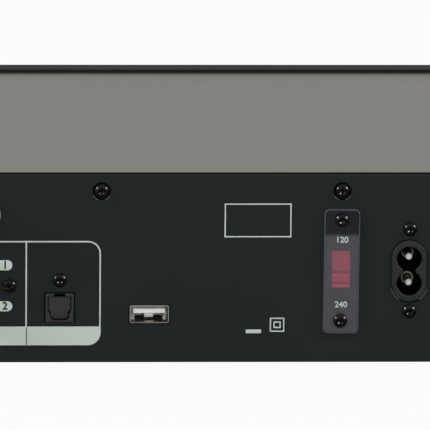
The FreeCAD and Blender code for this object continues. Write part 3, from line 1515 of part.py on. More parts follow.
def make_fasteners():
    """The screws, grouped by where they are used."""
    large = make_screw("screw_pattern", screw_radius, head_radius, head_height, screw_length)
    small = make_screw("small_screw_pattern", small_radius, small_head_radius,
                       small_head_height, small_length)
    places = [(across, rear_face, foot_height + cover_screw_level, "rear") for across in cover_screw_places]
    for side, along in ((1, "right"), (-1, "left")):
        for depth in side_screw_places:
            places.append((cover_width * side / 2, fascia_back + depth, foot_height + side_screw_rise, along))
    group("cover_screws", large, places)

    places = [
        (optical_offset, rear_face, foot_height + optical_screw_rise, "rear"),
        (jack_screw_offset, rear_face, foot_height + jack_screw_rise, "rear"),
    ]
    for half in (-0.5, 0.5):
        selector_up = foot_height + selector_rise + selector_screw_pitch * half
        inlet_up = foot_height + inlet_rise + inlet_screw_pitch * half
        places.append((selector_offset, rear_face + plate_thickness, selector_up, "rear"))
        places.append((inlet_offset, rear_face, inlet_up, "rear"))
    group("socket_screws", small, places)

    places = [(across, along, board_top, "up") for across, along in main_posts + power_posts]
    for across, up in front_post_places:
        places.append((across, fascia_back + steel + post_height + board, foot_height + up, "rear"))
    group("board_screws", large, places)

    places = []
    for across in fold_screw_places:
        for depth in (fold / 2 + steel, inner_depth - fold / 2):
            places.append((across, fascia_back + depth, foot_height, "down"))
    for across, up in fascia_screw_places:
        places.append((across, fascia_back + steel, foot_height + up, "rear"))
    for side in (-1, 1):
        places.append((core_offset + core_ear_spread * side / 2, rear_face - core_setback,
                       foot_height + steel + strap, "up"))
    for across, along in foot_places:
        places.append((across, fascia_back + along, foot_height - foot_wall, "down"))
    group("frame_screws", large, places)


def write_nodes():
    """Checks the whole document and writes one file for each sub-part."""
    doc.recompute()
    doc.recompute()
    for item in doc.Objects:
        if "Invalid" in item.State or "Error" in item.State:
            raise RuntimeError(f"{item.Label} is {item.State}")
    os.makedirs("parts", exist_ok=True)
    for item in nodes:
        if item.Shape.isNull() or not item.Shape.isValid() or not item.Shape.Solids:
            raise RuntimeError(f"{item.Label} has no valid solid")
        item.Shape.exportStep(os.path.join("parts", f"{item.Label}.step"))
    print(len(nodes), "nodes written")


make_chassis()
make_cover()
make_rear_panel()
make_subframe()
make_fascia()
make_window()
make_display()
make_front_board()
make_switches()
make_buttons()
make_knob()
make_encoder()
make_board("main_board", main_offset, main_width, main_depth, main_setback, main_posts)
make_board("power_board", power_board_offset, power_width, power_depth, power_setback, power_posts)
make_posts()
make_tuner()
make_audio_jacks()
make_optical()
make_usb()
make_selector()
make_inlet()
make_leads()
make_transformer()
make_supply()
make_ribbon()
make_feet()
make_fasteners()
write_nodes()
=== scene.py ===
# %% [markdown]
# # A radio tuner, dressed around its CAD frame
#
# The object is a half-width hi-fi tuner: a folded steel case, a thick aluminium front, and a rear panel
# full of sockets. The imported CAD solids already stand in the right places, so they come in first and are
# never moved. Where a solid has the right shape it only gets a better finish. Where the real thing has
# edges, threads or print that the solid leaves out, a new piece stands over it or takes its place.

# %% Load the frame
import json
import math

import bmesh
import bpy
from mathutils import Matrix, Vector


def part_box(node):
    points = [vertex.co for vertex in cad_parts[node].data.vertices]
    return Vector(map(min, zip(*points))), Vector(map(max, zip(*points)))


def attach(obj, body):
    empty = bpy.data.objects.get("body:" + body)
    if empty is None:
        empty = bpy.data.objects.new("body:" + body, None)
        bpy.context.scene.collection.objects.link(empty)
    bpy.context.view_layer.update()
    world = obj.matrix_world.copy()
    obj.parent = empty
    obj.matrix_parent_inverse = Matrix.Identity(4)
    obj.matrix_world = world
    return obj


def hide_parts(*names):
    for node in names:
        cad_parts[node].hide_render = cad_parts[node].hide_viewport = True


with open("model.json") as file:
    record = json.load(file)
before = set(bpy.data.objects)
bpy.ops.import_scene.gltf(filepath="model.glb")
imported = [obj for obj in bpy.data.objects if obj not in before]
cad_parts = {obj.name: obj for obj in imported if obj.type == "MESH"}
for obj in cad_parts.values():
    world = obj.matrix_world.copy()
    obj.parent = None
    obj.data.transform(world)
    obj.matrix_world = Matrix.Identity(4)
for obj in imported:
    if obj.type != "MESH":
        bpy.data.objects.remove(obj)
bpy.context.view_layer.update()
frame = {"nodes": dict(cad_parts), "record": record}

MM = 0.001
record = frame["record"]

# %% [markdown]
# ## Places that many pieces share
#
# Depths and most middles are read from the solids' own boxes, so they are typed only once, in the CAD.
# Where the photograph shows a piece a few tenths of a millimetre away from its solid, its measured place
# is typed here. A drawing on the rear panel is made flat, in millimetres, with u to the right and v up as
# somebody behind the tuner sees them. One matrix then stands it on the panel. Somebody behind the tuner
# has +X on the left, so u runs along -X.

# %% Read the places
def box_of(node):
    """The low and the high corner of a solid's box, in millimetres."""
    return [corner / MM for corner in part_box(node)]


def middle(node):
    low, high = box_of(node)
    return (low + high) / 2


rear_face = box_of("rear_panel")[1].y
rear_inner = box_of("top_cover")[1].y
selector_face = box_of("selector_cover")[1].y
print("rear panel from", round(rear_inner, 2), "to", round(rear_face, 2), "mm")


def facing(side):
    """Stands a flat drawing, in millimetres, upright: it faces +Y for side 1 and -Y for side -1."""
    return Matrix(((-side, 0, 0), (0, 0, side), (0, 1, 0))).to_4x4() @ Matrix.Scale(MM, 4)


rear, front = facing(1), facing(-1)

# %% [markdown]
# ## Camera
#
# The photograph looks down on the rear from about eleven degrees with a very long lens, so that its
# parallel lines stay nearly parallel. Position, yaw, pitch and roll were fitted to measured points: the
# screw pitch, the panel's edges and the sockets. The picture is 430 pixels square and shows only the
# middle of the tuner, which is why the model runs out of both sides of the frame.

# %% Camera
PICTURE = 430
FOCAL = 8000
YAW, PITCH, ROLL = math.radians(-2.36), math.radians(11.02), math.radians(0.43)

look = Vector((math.sin(YAW) * math.cos(PITCH), -math.cos(YAW) * math.cos(PITCH), -math.sin(PITCH)))
level = Vector((-math.cos(YAW), -math.sin(YAW), 0))
upward = level.cross(look)
right = level * math.cos(ROLL) + upward * math.sin(ROLL)
upward = upward * math.cos(ROLL) - level * math.sin(ROLL)

camera_data = bpy.data.cameras.new("camera")
camera_data.sensor_width = 36
camera_data.lens = FOCAL * camera_data.sensor_width / PICTURE
camera_data.clip_start, camera_data.clip_end = 0.1, 60
camera = bpy.data.objects.new("camera", camera_data)
camera.matrix_world = (
    Matrix.Translation((0.108, 2.6675, 0.5581)) @ Matrix((right, upward, -look)).transposed().to_4x4()
)
bpy.context.scene.collection.objects.link(camera)
bpy.context.scene.camera = camera
bpy.context.scene.view_settings.view_transform = "Standard"
print("lens", round(camera_data.lens, 1), "mm")

# %% [markdown]
# ## Nodes and colours
#
# A few small helpers serve every material. One turns an sRGB hex value, as a colour picker shows it, into
# the linear colour that Blender's nodes take, and one adds a node with its settings and links. The others
# add what nearly every finish has: a cloudy pattern, a mix of two near colours, a wandering roughness and
# a very low bump. Pattern sizes are in millimetres: a noise texture's scale is features per metre, so a
# size of 0.4 mm becomes a scale of 2500.

# %% Helpers for materials
def srgb(text):
    parts = [int(text[start:start + 2], 16) / 255 for start in (1, 3, 5)]
    linear = [p / 12.92 if p <= 0.04045 else ((p + 0.055) / 1.055) ** 2.4 for p in parts]
    return (*linear, 1.0)


def set_inputs(tree, item, inputs):
    """Sets a node's inputs to values, or links them where a socket is given."""
    for name, value in inputs.items():
        if isinstance(value, bpy.types.NodeSocket):
            tree.links.new(value, item.inputs[name])
        else:
            item.inputs[name].default_value = value


def add(tree, kind, inputs=None, **settings):
    """Adds one node. Settings are its properties; inputs are set to a value or linked to a socket."""
    item = tree.nodes.new(kind)
    for name, value in settings.items():
        setattr(item, name, value)
    set_inputs(tree, item, inputs or {})
    return item


def per(size):
    """The texture scale that makes one feature about this many millimetres."""
    return 1000 / size


def new_material(name):
    """A material with only a Principled shader; also gives its tree and its Object coordinates."""
    material = bpy.data.materials.new(name)
    material.use_nodes = True
    tree = material.node_tree
    tree.nodes.clear()
    shader = add(tree, "ShaderNodeBsdfPrincipled")
    add(tree, "ShaderNodeOutputMaterial", {"Surface": shader.outputs[0]})
    place = add(tree, "ShaderNodeTexCoord").outputs["Object"]
    return material, tree, shader, place


def noise(tree, place, size, detail):
    """A cloudy pattern with features about this many millimetres wide."""
    clouds = add(tree, "ShaderNodeTexNoise", {"Vector": place, "Scale": per(size), "Detail": detail})
    return clouds.outputs["Fac"]


def blend(tree, share, first, second):
    """A mix of two hex colours by a share from 0 to 1."""
    mix = add(tree, "ShaderNodeMix", {
        "Factor": share, "A": srgb(first), "B": srgb(second),
    }, data_type="RGBA")
    return mix.outputs["Result"]


def spread(tree, value, low, high, start=0.0, end=1.0):
    """Maps the range from start to end onto the range from low to high."""
    return add(tree, "ShaderNodeMapRange", {
        "Value": value, "From Min": start, "From Max": end, "To Min": low, "To Max": high,
    }).outputs["Result"]


def raised(tree, pattern, strength, height=0.01):
    """A bump that follows a pattern, with its height in millimetres."""
    return add(tree, "ShaderNodeBump", {
        "Height": pattern, "Strength": strength, "Distance": height * MM,
    }).outputs["Normal"]


def skin(tree, shader, pattern, colours, roughness, swing, bump, tone=None, metallic=0.0, specular=0.5):
    """A finish that follows one pattern; its colour may follow another one, the tone."""
    wandering = spread(tree, pattern, max(roughness - swing, 0.05), roughness + swing) if swing else roughness
    set_inputs(tree, shader, {
        "Base Color": blend(tree, pattern if tone is None else tone, *colours), "Roughness": wandering,
        "Normal": raised(tree, pattern, bump), "Metallic": metallic, "Specular IOR Level": specular,
    })


# %% [markdown]
# ## Powder-coated steel
#
# The cover and the rear panel are sheet steel with a baked powder coat. The panel's coat is matt and
# nearly black. The cover's is a satin dark grey: seen at eleven degrees it mirrors the white sweep behind
# it and looks much paler, except close to the front, where the front's raised edge stands in the way.
# Powder melts into a skin with a faint orange peel: soft waves of about a millimetre, with a finer tooth
# on top, and the coat's thickness drifts over a few centimetres. So two near colours mix slowly, the
# roughness wanders, and there is a very low bump.

# %% Powder paint
def powder_paint(name, dark, light, roughness, wave, specular):
    material, tree, shader, place = new_material(name)
    tooth = noise(tree, place, wave, 4)
    tinted = add(tree, "ShaderNodeVectorMath", {
        0: blend(tree, noise(tree, place, 38, 3), dark, light),
        "Scale": spread(tree, tooth, 0.93, 1.07, 0.3, 0.7),
    }, operation="SCALE")
    set_inputs(tree, shader, {
        "Base Color": tinted.outputs["Vector"], "Specular IOR Level": specular,
        "Roughness": spread(tree, tooth, roughness - 0.06, roughness + 0.06),
        "Normal": raised(tree, tooth, 0.12, 0.02),
    })
    return material


finishes = {
    "cover_paint": powder_paint("powder_paint_satin", "#393935", "#403F3B", 0.34, 0.9, 0.5),
    "panel_paint": powder_paint("powder_paint_black", "#222829", "#272D2E", 0.5, 0.7, 0.12),
}
print("painted:", *finishes)

# %% [markdown]
# ## Anodised aluminium
#
# The front is milled bar, brushed along its length and anodised black. A dyed anodic film is a matt
# ceramic skin, so it isn't shaded as bare metal. Brushing leaves hair lines hundreds of times longer than
# they are wide, so the noise is stretched: 60 mm along X against a quarter of a millimetre across. The
# knob was turned in a lathe instead, so its lines are rings about its own axis, and a wave texture in
# ring form, centred there, draws them.

# %% Brushed and turned aluminium
def brushed_aluminium(name, dark, light, roughness, specular=0.2):
    material, tree, shader, place = new_material(name)
    stretched = add(tree, "ShaderNodeMapping", {"Vector": place, "Scale": (per(60), per(0.25), per(0.25))})
    hair = add(tree, "ShaderNodeTexNoise", {"Vector": stretched.outputs[0], "Scale": 1.0, "Detail": 3.0})
    skin(tree, shader, hair.outputs["Fac"], (dark, light), roughness, 0.08, 0.15, specular=specular)
    return material


def turned_aluminium(name, centre, dark, light, roughness):
    material, tree, shader, place = new_material(name)
    centred = add(tree, "ShaderNodeMapping", {
        "Vector": place, "Location": (-centre.x * MM, 0, -centre.z * MM),
    })
    rings = add(tree, "ShaderNodeTexWave", {
        "Vector": centred.outputs[0], "Scale": per(0.35) / 20, "Distortion": 0.6, "Detail": 2.0,
    }, wave_type="RINGS", rings_direction="Y")
    skin(tree, shader, rings.outputs["Fac"], (dark, light), roughness, 0.0, 0.1, metallic=0.8)
    return material


finishes |= {
    "fascia_aluminium": brushed_aluminium("anodised_aluminium_brushed", "#1F2223", "#2A2D2E", 0.5, 0.02),
    "button_metal": brushed_aluminium("anodised_aluminium_button", "#383A3B", "#44474A", 0.35),
    "sink_aluminium": brushed_aluminium("anodised_aluminium_extruded", "#2A2C2E", "#343638", 0.5),
    "knob_aluminium": turned_aluminium(
        "anodised_aluminium_turned", middle("tuning_knob"), "#2B2D2F", "#3A3D40", 0.33
    ),
}
print("finishes so far:", len(finishes))

# %% [markdown]
# ## Moulded plastics and rubber
#
# ABS and nylon mouldings copy their tool: sockets come out of a fine spark-eroded texture, a few tenths
# of a millimetre, and shiny ones out of a polished tool with only slow flow waves. One function makes
# both, from a colour, a roughness and the size of the tool's grain.

# %% Moulded finishes
def moulded(name, colour, shade, roughness, grain):
    material, tree, shader, place = new_material(name)
    tool = noise(tree, place, grain, 3)
    skin(tree, shader, tool, (colour, shade), roughness, 0.07, 0.2, tone=noise(tree, place, 6, 2))
    return material


finishes |= {
    "black_moulding": moulded("abs_black", "#1E1F20", "#232526", 0.45, 0.25),
    "inlet_moulding": moulded("nylon_black", "#2A2C2E", "#323537", 0.45, 0.4),
    "shutter_moulding": moulded("abs_shutter", "#262829", "#2D2F31", 0.4, 0.3),
    "white_moulding": moulded("abs_white", "#E2E3E0", "#D4D6D5", 0.35, 0.3),
    "red_moulding": moulded("acetal_red", "#F44450", "#F44B56", 0.35, 0.3),
    "lead_insulation": moulded("pvc_lead", "#6A4B34", "#71523A", 0.4, 0.6),
    "ribbon_insulation": moulded("pvc_ribbon", "#9A9C9F", "#8E9094", 0.45, 0.6),
    "foot_moulding": moulded("abs_foot", "#1A1B1C", "#202122", 0.5, 0.3),
    "foot_rubber": moulded("rubber_foot", "#262626", "#2C2C2C", 0.8, 0.2),
}
print("finishes so far:", len(finishes))

# %% [markdown]
# ## Plated metal
#
# Screws, shells and terminals are plated: gold and nickel over brass, zinc and tin over steel. Plating is
# thin and follows the metal below, so it shows faint drawing marks and a roughness that wanders. Most are
# full metals, coloured as that plating is. A few bright edges, tips and collars are near-white and nearly
# matt instead: painted highlights that stand in for glints. Black zinc, on the screws of the rear, is a
# dark skin that still mirrors its surroundings at the edges of the head.

# %% Plated finishes
def plated(name, colour, shade, roughness, grain, metallic=1.0, specular=0.5):
    material, tree, shader, place = new_material(name)
    marks = noise(tree, place, grain, 5)
    skin(tree, shader, marks, (colour, shade), roughness, 0.08, 0.15, metallic=metallic, specular=specular)
    return material


finishes |= {
    "zinc_steel": plated("zinc_plate_sheet", "#A2A5A6", "#8B8F91", 0.38, 4.0),
    "bright_steel": plated("zinc_plate_bright", "#B4B4B0", "#A5A5A2", 0.3, 0.8),
    "black_screws": plated("black_zinc", "#0A0C0C", "#0F1111", 0.16, 1.5, metallic=0.0, specular=1.0),
    "brass_posts": plated("brass_turned", "#B59F62", "#A58F55", 0.3, 0.8),
    "tinplate": plated("tin_plate", "#B9BBB9", "#A9ABAA", 0.4, 5.0),
    "gold_plate": plated("gold_plate", "#D9B468", "#C9A457", 0.22, 0.6),
    "nickel_plate": plated("nickel_plate", "#C9C6C0", "#B9B7B2", 0.22, 0.7),
    "core_iron": plated("varnished_iron", "#565350", "#4A4846", 0.5, 0.5, metallic=0.6),
    "winding_copper": plated("taped_copper", "#A9763B", "#96672F", 0.45, 0.4, metallic=0.4),
}
print("finishes so far:", len(finishes))

# %% [markdown]
# ## Clear plastics, glass and the circuit boards
#
# The window is smoked acrylic, polished on both sides: it passes light but dims it. The guard over the
# voltage selector is a clear sheet whose lower part has a matt film, so it blurs and greys what is behind
# it; the change comes from the height on the panel. The boards are glass fibre under green resist, with
# copper tracks that lift the lacquer slightly, which a brick texture turned into fine lines imitates.

# %% Clear finishes and boards
def clear(name, colour, roughness, film=None):
    """A clear sheet. Below the height film, in millimetres, a matt film scatters part of the light."""
    material, tree, shader, place = new_material(name)
    haze = noise(tree, place, 1.2, 3)
    set_inputs(tree, shader, {
        "Base Color": srgb(colour), "Roughness": spread(tree, haze, roughness - 0.02, roughness + 0.02),
        "Transmission Weight": 1.0, "IOR": 1.49,
    })
    if film is not None:
        height = add(tree, "ShaderNodeSeparateXYZ", {0: place}).outputs["Z"]
        covered = spread(tree, height, 1.0, 0.0, (film - 0.6) * MM, (film + 0.6) * MM)
        set_inputs(tree, shader, {
            "Transmission Weight": spread(tree, covered, 0.998, 0.937),
            "Base Color": blend(tree, covered, "#A6A9B6", colour),
        })
    return material


def circuit_board(name):
    material, tree, shader, place = new_material(name)
    tracks = add(tree, "ShaderNodeTexBrick", {
        "Vector": place, "Scale": per(6), "Mortar Size": 0.03, "Color1": srgb("#1B4F36"),
        "Color2": srgb("#1E5A3D"), "Mortar": srgb("#2C6E4B"),
    })
    set_inputs(tree, shader, {
        "Base Color": tracks.outputs["Color"], "Roughness": 0.35,
        "Normal": raised(tree, tracks.outputs["Fac"], 1.0, 0.03),
    })
    return material


finishes |= {
    "smoked_lens": clear("acrylic_smoked", "#6E7377", 0.03),
    "display_glass": moulded("glass_dark", "#0D0F10", "#121415", 0.12, 4.0),
    "clear_plate": clear("acrylic_guard", "#D0CEDA", 0.04, film=51.7),
    "clear_lens": clear("acrylic_clear", "#DCE6EC", 0.04),
    "circuit_board": circuit_board("glass_fibre_green"),
}

for row in record["subparts"]:
    for slot in frame["nodes"][row["node"]].material_slots:
        slot.material = finishes[row["material_slot"]]
print("solids finished:", len(record["subparts"]))

# %% [markdown]
# ## Building shapes
#
# Nearly every piece is one of two things. A flat shape is an outline with holes and a thickness: a 2D
# curve gives that, with its edges rounded by the curve's own bevel. A loft is a stack of equal outlines
# at rising heights, skinned one to the next: a turned part is a stack of circles, and a tube is a stack
# that closes on itself. Both are drawn in millimetres and then stood on the panel by a matrix, so the
# finished object stays at the origin.

# %% Helpers for pieces
def as_piece(name, mesh, slot, body="cabinet", finish=None, stands_for=(), smooth=35):
    """Links a mesh as a finished piece that rides on a body and takes its finish from a slot."""
    mesh.materials.clear()
    mesh.materials.append(finish or finishes[slot])
    mesh.name = name
    piece = bpy.data.objects.new(name, mesh)
    bpy.context.scene.collection.objects.link(piece)
    mesh.shade_smooth()
    mesh.set_sharp_from_angle(angle=math.radians(smooth))
    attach(piece, body)
    if stands_for:
        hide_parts(*stands_for)
    return piece


def settled(work, place):
    """Turns a bmesh into a mesh that faces outwards and stands in its place."""
    bmesh.ops.recalc_face_normals(work, faces=work.faces)
    mesh = bpy.data.meshes.new("shape")
    work.to_mesh(mesh)
    work.free()
    mesh.transform(place)
    return mesh


def mesh_from(item, place):
    """The evaluated mesh of a curve or text, merged and stood in its place."""
    bpy.context.scene.collection.objects.link(item)
    shaped = item.evaluated_get(bpy.context.evaluated_depsgraph_get())
    mesh = bpy.data.meshes.new_from_object(shaped)
    bpy.data.objects.remove(item)
    work = bmesh.new()
    work.from_mesh(mesh)
    bmesh.ops.remove_doubles(work, verts=work.verts, dist=0.002)
    return settled(work, place)


def flat_shape(loops, low, high, place, edge=0.0):
    """A plate with these outlines between two heights, its edges rounded by edge."""
    drawing = bpy.data.curves.new("drawing", "CURVE")
    drawing.dimensions, drawing.fill_mode = "2D", "BOTH"
    drawing.extrude = (high - low) / 2 - edge
    drawing.bevel_depth, drawing.offset, drawing.bevel_resolution = edge, -edge, 2
    for loop in loops:
        spline = drawing.splines.new("POLY")
        spline.points.add(len(loop) - 1)
        spline.use_cyclic_u = True
        for point, (u, v) in zip(spline.points, loop):
            point.co = (u, v, 0, 1)
    middle_height = Matrix.Translation((0, 0, (low + high) / 2))
    return mesh_from(bpy.data.objects.new("drawing", drawing), place @ middle_height)


def loft(sections, place, closed=False):
    """Skins a stack of (outline, height) pairs; a closed stack is a tube, an open one gets end caps."""
    work = bmesh.new()
    rows = [[work.verts.new((u, v, height)) for u, v in loop] for loop, height in sections]
    pairs = list(zip(rows, rows[1:]))
    if closed:
        pairs.append((rows[-1], rows[0]))
    else:
        for row in (rows[0], rows[-1]):
            work.faces.new(row)
    for lower, higher in pairs:
        for step in range(len(lower)):
            before = step - 1
            work.faces.new((lower[before], lower[step], higher[step], higher[before]))
    bmesh.ops.triangulate(work, faces=[face for face in work.faces if len(face.verts) > 4])
    return settled(work, place)


def joined(*meshes):
    work = bmesh.new()
    for mesh in meshes:
        work.from_mesh(mesh)
    return settled(work, Matrix.Identity(4))


def at(u, v, turn=0.0):
    """Moves a drawing by u, v after turning it by some degrees."""
    return Matrix.Translation((u, v, 0)) @ Matrix.Rotation(math.radians(turn), 4, "Z")


# %% Outlines
def arc(radius, angles):
    """Points at these angles on a circle about the middle."""
    return [(radius * math.cos(angle), radius * math.sin(angle)) for angle in angles]


def moved(loop, u, v):
    return [(x + u, y + v) for x, y in loop]


def hole(loop):
    """The same outline run the other way, which makes it a hole."""
    return list(reversed(loop))


def ring(radius, steps=48, turn=0.0):
    """A circle about the middle; with few steps it is a polygon, such as a nut's."""
    return arc(radius, [turn + math.tau * step / steps for step in range(steps)])


def band(radius, line, low, high, steps=24):
    """Part of a ring between two angles in degrees."""
    angles = [math.radians(low + (high - low) * step / steps) for step in range(steps + 1)]
    return arc(radius, angles) + arc(radius - line, reversed(angles))


def rounded(low, high, radius, steps=8):
    """A rectangle with round corners; four radii go top right, top left, bottom left, bottom right."""
    radii = radius if isinstance(radius, tuple) else (radius,) * 4
    (left, bottom), (far, top) = low, high
    loop = []
    for quarter, (size, side, up) in enumerate(zip(radii, (1, -1, -1, 1), (1, 1, -1, -1))):
        u = (far if side > 0 else left) - side * size
        v = (top if up > 0 else bottom) - up * size
        angles = [(quarter + step / steps) * math.pi / 2 for step in range(steps + 1)]
        loop += moved(arc(size, angles), u, v)
    return loop


def box_loop(u, v, width, height, radius, inset=0.0):
    """A rounded rectangle about u, v, drawn inwards by inset."""
    across, up = width / 2 - inset, height / 2 - inset
    return rounded((u - across, v - up), (u + across, v + up), max(radius - inset, 0.02))


# %% Turned and stepped shapes
def turned(profile, place, steps=48, turn=0.0, closed=False):
    """A stack of circles from (radius, height) pairs; with few steps it is a prism."""
    return loft([(ring(radius, steps, turn), height) for radius, height in profile], place, closed)


def stepped(box, levels, place, closed=False):
    """A block on one rounded rectangle, from (inset, height) pairs."""
    return loft([(box_loop(*box, inset), height) for inset, height in levels], place, closed)


print("shape helpers ready")

# %% [markdown]
# ## Screen print on the rear panel
#
# The panel is screen printed in a pale grey-green: a frame round the audio outputs with a solid band
# under it, a badge beside each jack, an empty box and a few plain marks. Real ink stands a few hundredths
# of a millimetre proud. A texture could paint it, but as thin plates the ink keeps a crisp edge at any
# distance and is part of the exported mesh. Numbers are the only characters. The cover's cut edge lies in
# the shadow of its bend, and a thin dark strip made in the same way shows it.

# %% Ink
def ink_material(name, colour, shade, specular=0.3):
    material, tree, shader, place = new_material(name)
    skin(tree, shader, noise(tree, place, 0.5, 4), (colour, shade), 0.6, 0.0, 0.2, specular=specular)
    return material


pale_ink = ink_material("screen_ink_pale", "#C1CEC6", "#CDDAD2")
# Dark print on the badges; the same ink is painted shade in the data port's spring windows.
dark_print_and_shade_ink = ink_material("screen_ink_dark_and_painted_shade", "#262B2A", "#303635")
# Painted shade: this near-black film is laid where only shade falls, in gaps, wells and recesses.
painted_shade_black = ink_material("black_painted_shade", "#050606", "#080808", 0.05)
INK = 0.05


def printed(name, loops, finish=pale_ink, place=rear):
    """A thin film in these outlines on the rear face: ink, or with a near-black finish a painted shadow."""
    film = flat_shape(loops, rear_face - 0.01, rear_face + INK, place)
    return as_piece(name, film, "white_moulding", finish=finish)


def outline(u, v, width, height, line):
    """A thin frame with square corners."""
    return [box_loop(u, v, width, height, 0.05), hole(box_loop(u, v, width, height, 0.05, line))]


BADGE = -71.1
jack_levels = {"1": middle("left_jack_ring").z, "2": middle("right_jack_ring").z}
printed("print_output_frame", [
    rounded((-92.0, 14.7), (-39.52, 49.54), 4.2),
    hole(rounded((-91.54, 20.97), (-64.18, 49.07), (0.1, 3.73, 0.1, 0.1))),
    hole(rounded((-63.7, 20.97), (-39.98, 49.07), (3.73, 0.1, 0.1, 0.1))),
    hole(rounded((-63.95, 14.85), (-63.65, 20.8), 0.05)),
])
# Painted shadow: a near-black strip where the cover's cut edge lies in the shade of its bend.
cut_edge = rounded((-141.5, 71.4), (141.5, 71.9), 0.1)
as_piece("cover_cut_edge", flat_shape([cut_edge], rear_inner - 0.02, rear_inner + 0.04, rear), "cover_paint",
         finish=painted_shade_black)
printed("print_badges", [box_loop(BADGE, level + 0.05, 5.25, 3.35, 1.65) for level in jack_levels.values()])
printed("print_empty_box", outline(11.83, 56.36, 21.9, 11.25, 0.4))
printed("print_plain_marks", outline(18.35, 21.5, 4.75, 4.7, 0.4) + outline(18.35, 21.5, 2.4, 2.25, 0.42)
        + [box_loop(10.6, 19.3, 5.0, 1.25, 0.1)])
print("printed, with a badge for each of", len(jack_levels), "jacks")

# %% [markdown]
# ## Numbers
#
# A few plain numbers stand where the panel is lettered: one and two on the badges, and the two mains
# voltages above and below the selector's slide. Text is drawn with Blender's own font, turned into a
# mesh first and only then put in its place.

# %% Numbers on the rear
def number(name, text, place, level, height, finish, boldness=0.04):
    words = bpy.data.curves.new("number", "FONT")
    words.body = text
    words.align_x, words.align_y = "CENTER", "CENTER"
    words.size = height / 0.7
    words.extrude, words.offset = INK / 2, boldness
    stand = place @ Matrix.Translation((0, 0, level + INK / 2))
    mesh = mesh_from(bpy.data.objects.new("number", words), stand)
    return as_piece(name, mesh, "white_moulding", finish=finish)


for text, level in jack_levels.items():
    badge = rear @ at(BADGE + 0.25, level + 0.05)
    number(f"print_number_{text}", text, badge, rear_face + INK, 2.5, dark_print_and_shade_ink, 0.09)
print("numbers:", *jack_levels)

# %% [markdown]
# ## Geometry Nodes trees
#
# Whatever repeats is placed by a tree: screws, the knob's grip and the antenna's thread. Each tree has
# named inputs for its sizes, makes its instances real at the end and sets their finish. The result is
# taken as a plain mesh and the modifier goes, so what is left is ordinary geometry.

# %% Helpers for trees
def new_tree(name, inputs):
    """A Geometry Nodes tree with named inputs; gives it with its input and output nodes."""
    tree = bpy.data.node_groups.new(name, "GeometryNodeTree")
    tree.interface.new_socket("Geometry", in_out="INPUT", socket_type="NodeSocketGeometry")
    for label, kind in inputs.items():
        tree.interface.new_socket(label, in_out="INPUT", socket_type=f"NodeSocket{kind}")
    tree.interface.new_socket("Geometry", in_out="OUTPUT", socket_type="NodeSocketGeometry")
    return tree, add(tree, "NodeGroupInput"), add(tree, "NodeGroupOutput")


def end_tree(tree, given, result, geometry):
    """Every tree ends by making its instances real and giving them their finish."""
    real = add(tree, "GeometryNodeRealizeInstances", {"Geometry": geometry})
    done = add(tree, "GeometryNodeSetMaterial", {
        "Geometry": real.outputs[0], "Material": given.outputs["Finish"],
    })
    tree.links.new(done.outputs[0], result.inputs["Geometry"])


def end_on_base(tree, given, result, geometry, height):
    """Lifts what the tree made to its named height, adds the mesh it was given, and ends the tree."""
    rise = add(tree, "ShaderNodeCombineXYZ", {"Z": given.outputs[height]})
    lifted = add(tree, "GeometryNodeTransform", {"Geometry": geometry, "Translation": rise.outputs[0]})
    whole = add(tree, "GeometryNodeJoinGeometry")
    for part in (given.outputs["Geometry"], lifted.outputs[0]):
        tree.links.new(part, whole.inputs[0])
    end_tree(tree, given, result, whole.outputs[0])


def linked(name, mesh):
    item = bpy.data.objects.new(name, mesh)
    bpy.context.scene.collection.objects.link(item)
    return item


def baked(source, tree, values):
    """Runs a tree on a mesh with its inputs set by identifier, and gives the plain mesh."""
    carrier = linked("carrier", source)
    modifier = carrier.modifiers.new(tree.name, "NODES")
    modifier.node_group = tree
    for item in tree.interface.items_tree:
        if item.in_out == "INPUT" and item.name in values:
            modifier[item.identifier] = values[item.name]
    shaped = carrier.evaluated_get(bpy.context.evaluated_depsgraph_get())
    mesh = bpy.data.meshes.new_from_object(shaped)
    carrier.modifiers.clear()
    bpy.data.objects.remove(carrier)
    print(tree.name, "made", len(mesh.polygons), "faces")
    return mesh


# %% [markdown]
# ## Screws
#
# Pan-head screws with a cross recess hold the cover and every socket. They are black zinc: nearly black,
# but glossy enough for the softboxes to draw bright arcs on the dome and sparks in the recess. A single
# head is made, one unit in radius and one in height: a stack of circles, with the recess cut out by a
# boolean. The tree sets it on each point of a small mesh. The attribute aim says which way a screw
# faces, spin how far it was driven round, and a small random turn with a fixed seed is added to that.

# %% One screw head
HEAD = [(0.96, -0.06), (0.98, 0.0), (0.98, 0.2), (0.96, 0.34), (0.91, 0.48), (0.83, 0.64), (0.74, 0.77),
        (0.64, 0.87), (0.52, 0.94), (0.34, 0.985), (0.12, 1.0)]
WING = [(0.08, 0.05, 0.25), (0.42, 0.1, 0.7), (0.62, 0.14, 1.1)]
head = linked("head", turned(HEAD, at(0, 0)))
wing = [(rounded((-along, -across), (along, across), 0.03, 1), height) for along, across, height in WING]
cone = turned([(0.05, 0.5), (0.54, 1.1)], at(0, 0), 24)
cutter = linked("recess", joined(cone, *[loft(wing, at(0, 0, turn)) for turn in (0, 90)]))
cut = head.modifiers.new("recess", "BOOLEAN")
cut.object, cut.operation, cut.solver, cut.use_self = cutter, "DIFFERENCE", "EXACT", True
head_mesh = bpy.data.meshes.new_from_object(head.evaluated_get(bpy.context.evaluated_depsgraph_get()))
bpy.data.objects.remove(head)
bpy.data.objects.remove(cutter)
head = linked("head", head_mesh)
print("screw head faces:", len(head_mesh.polygons))

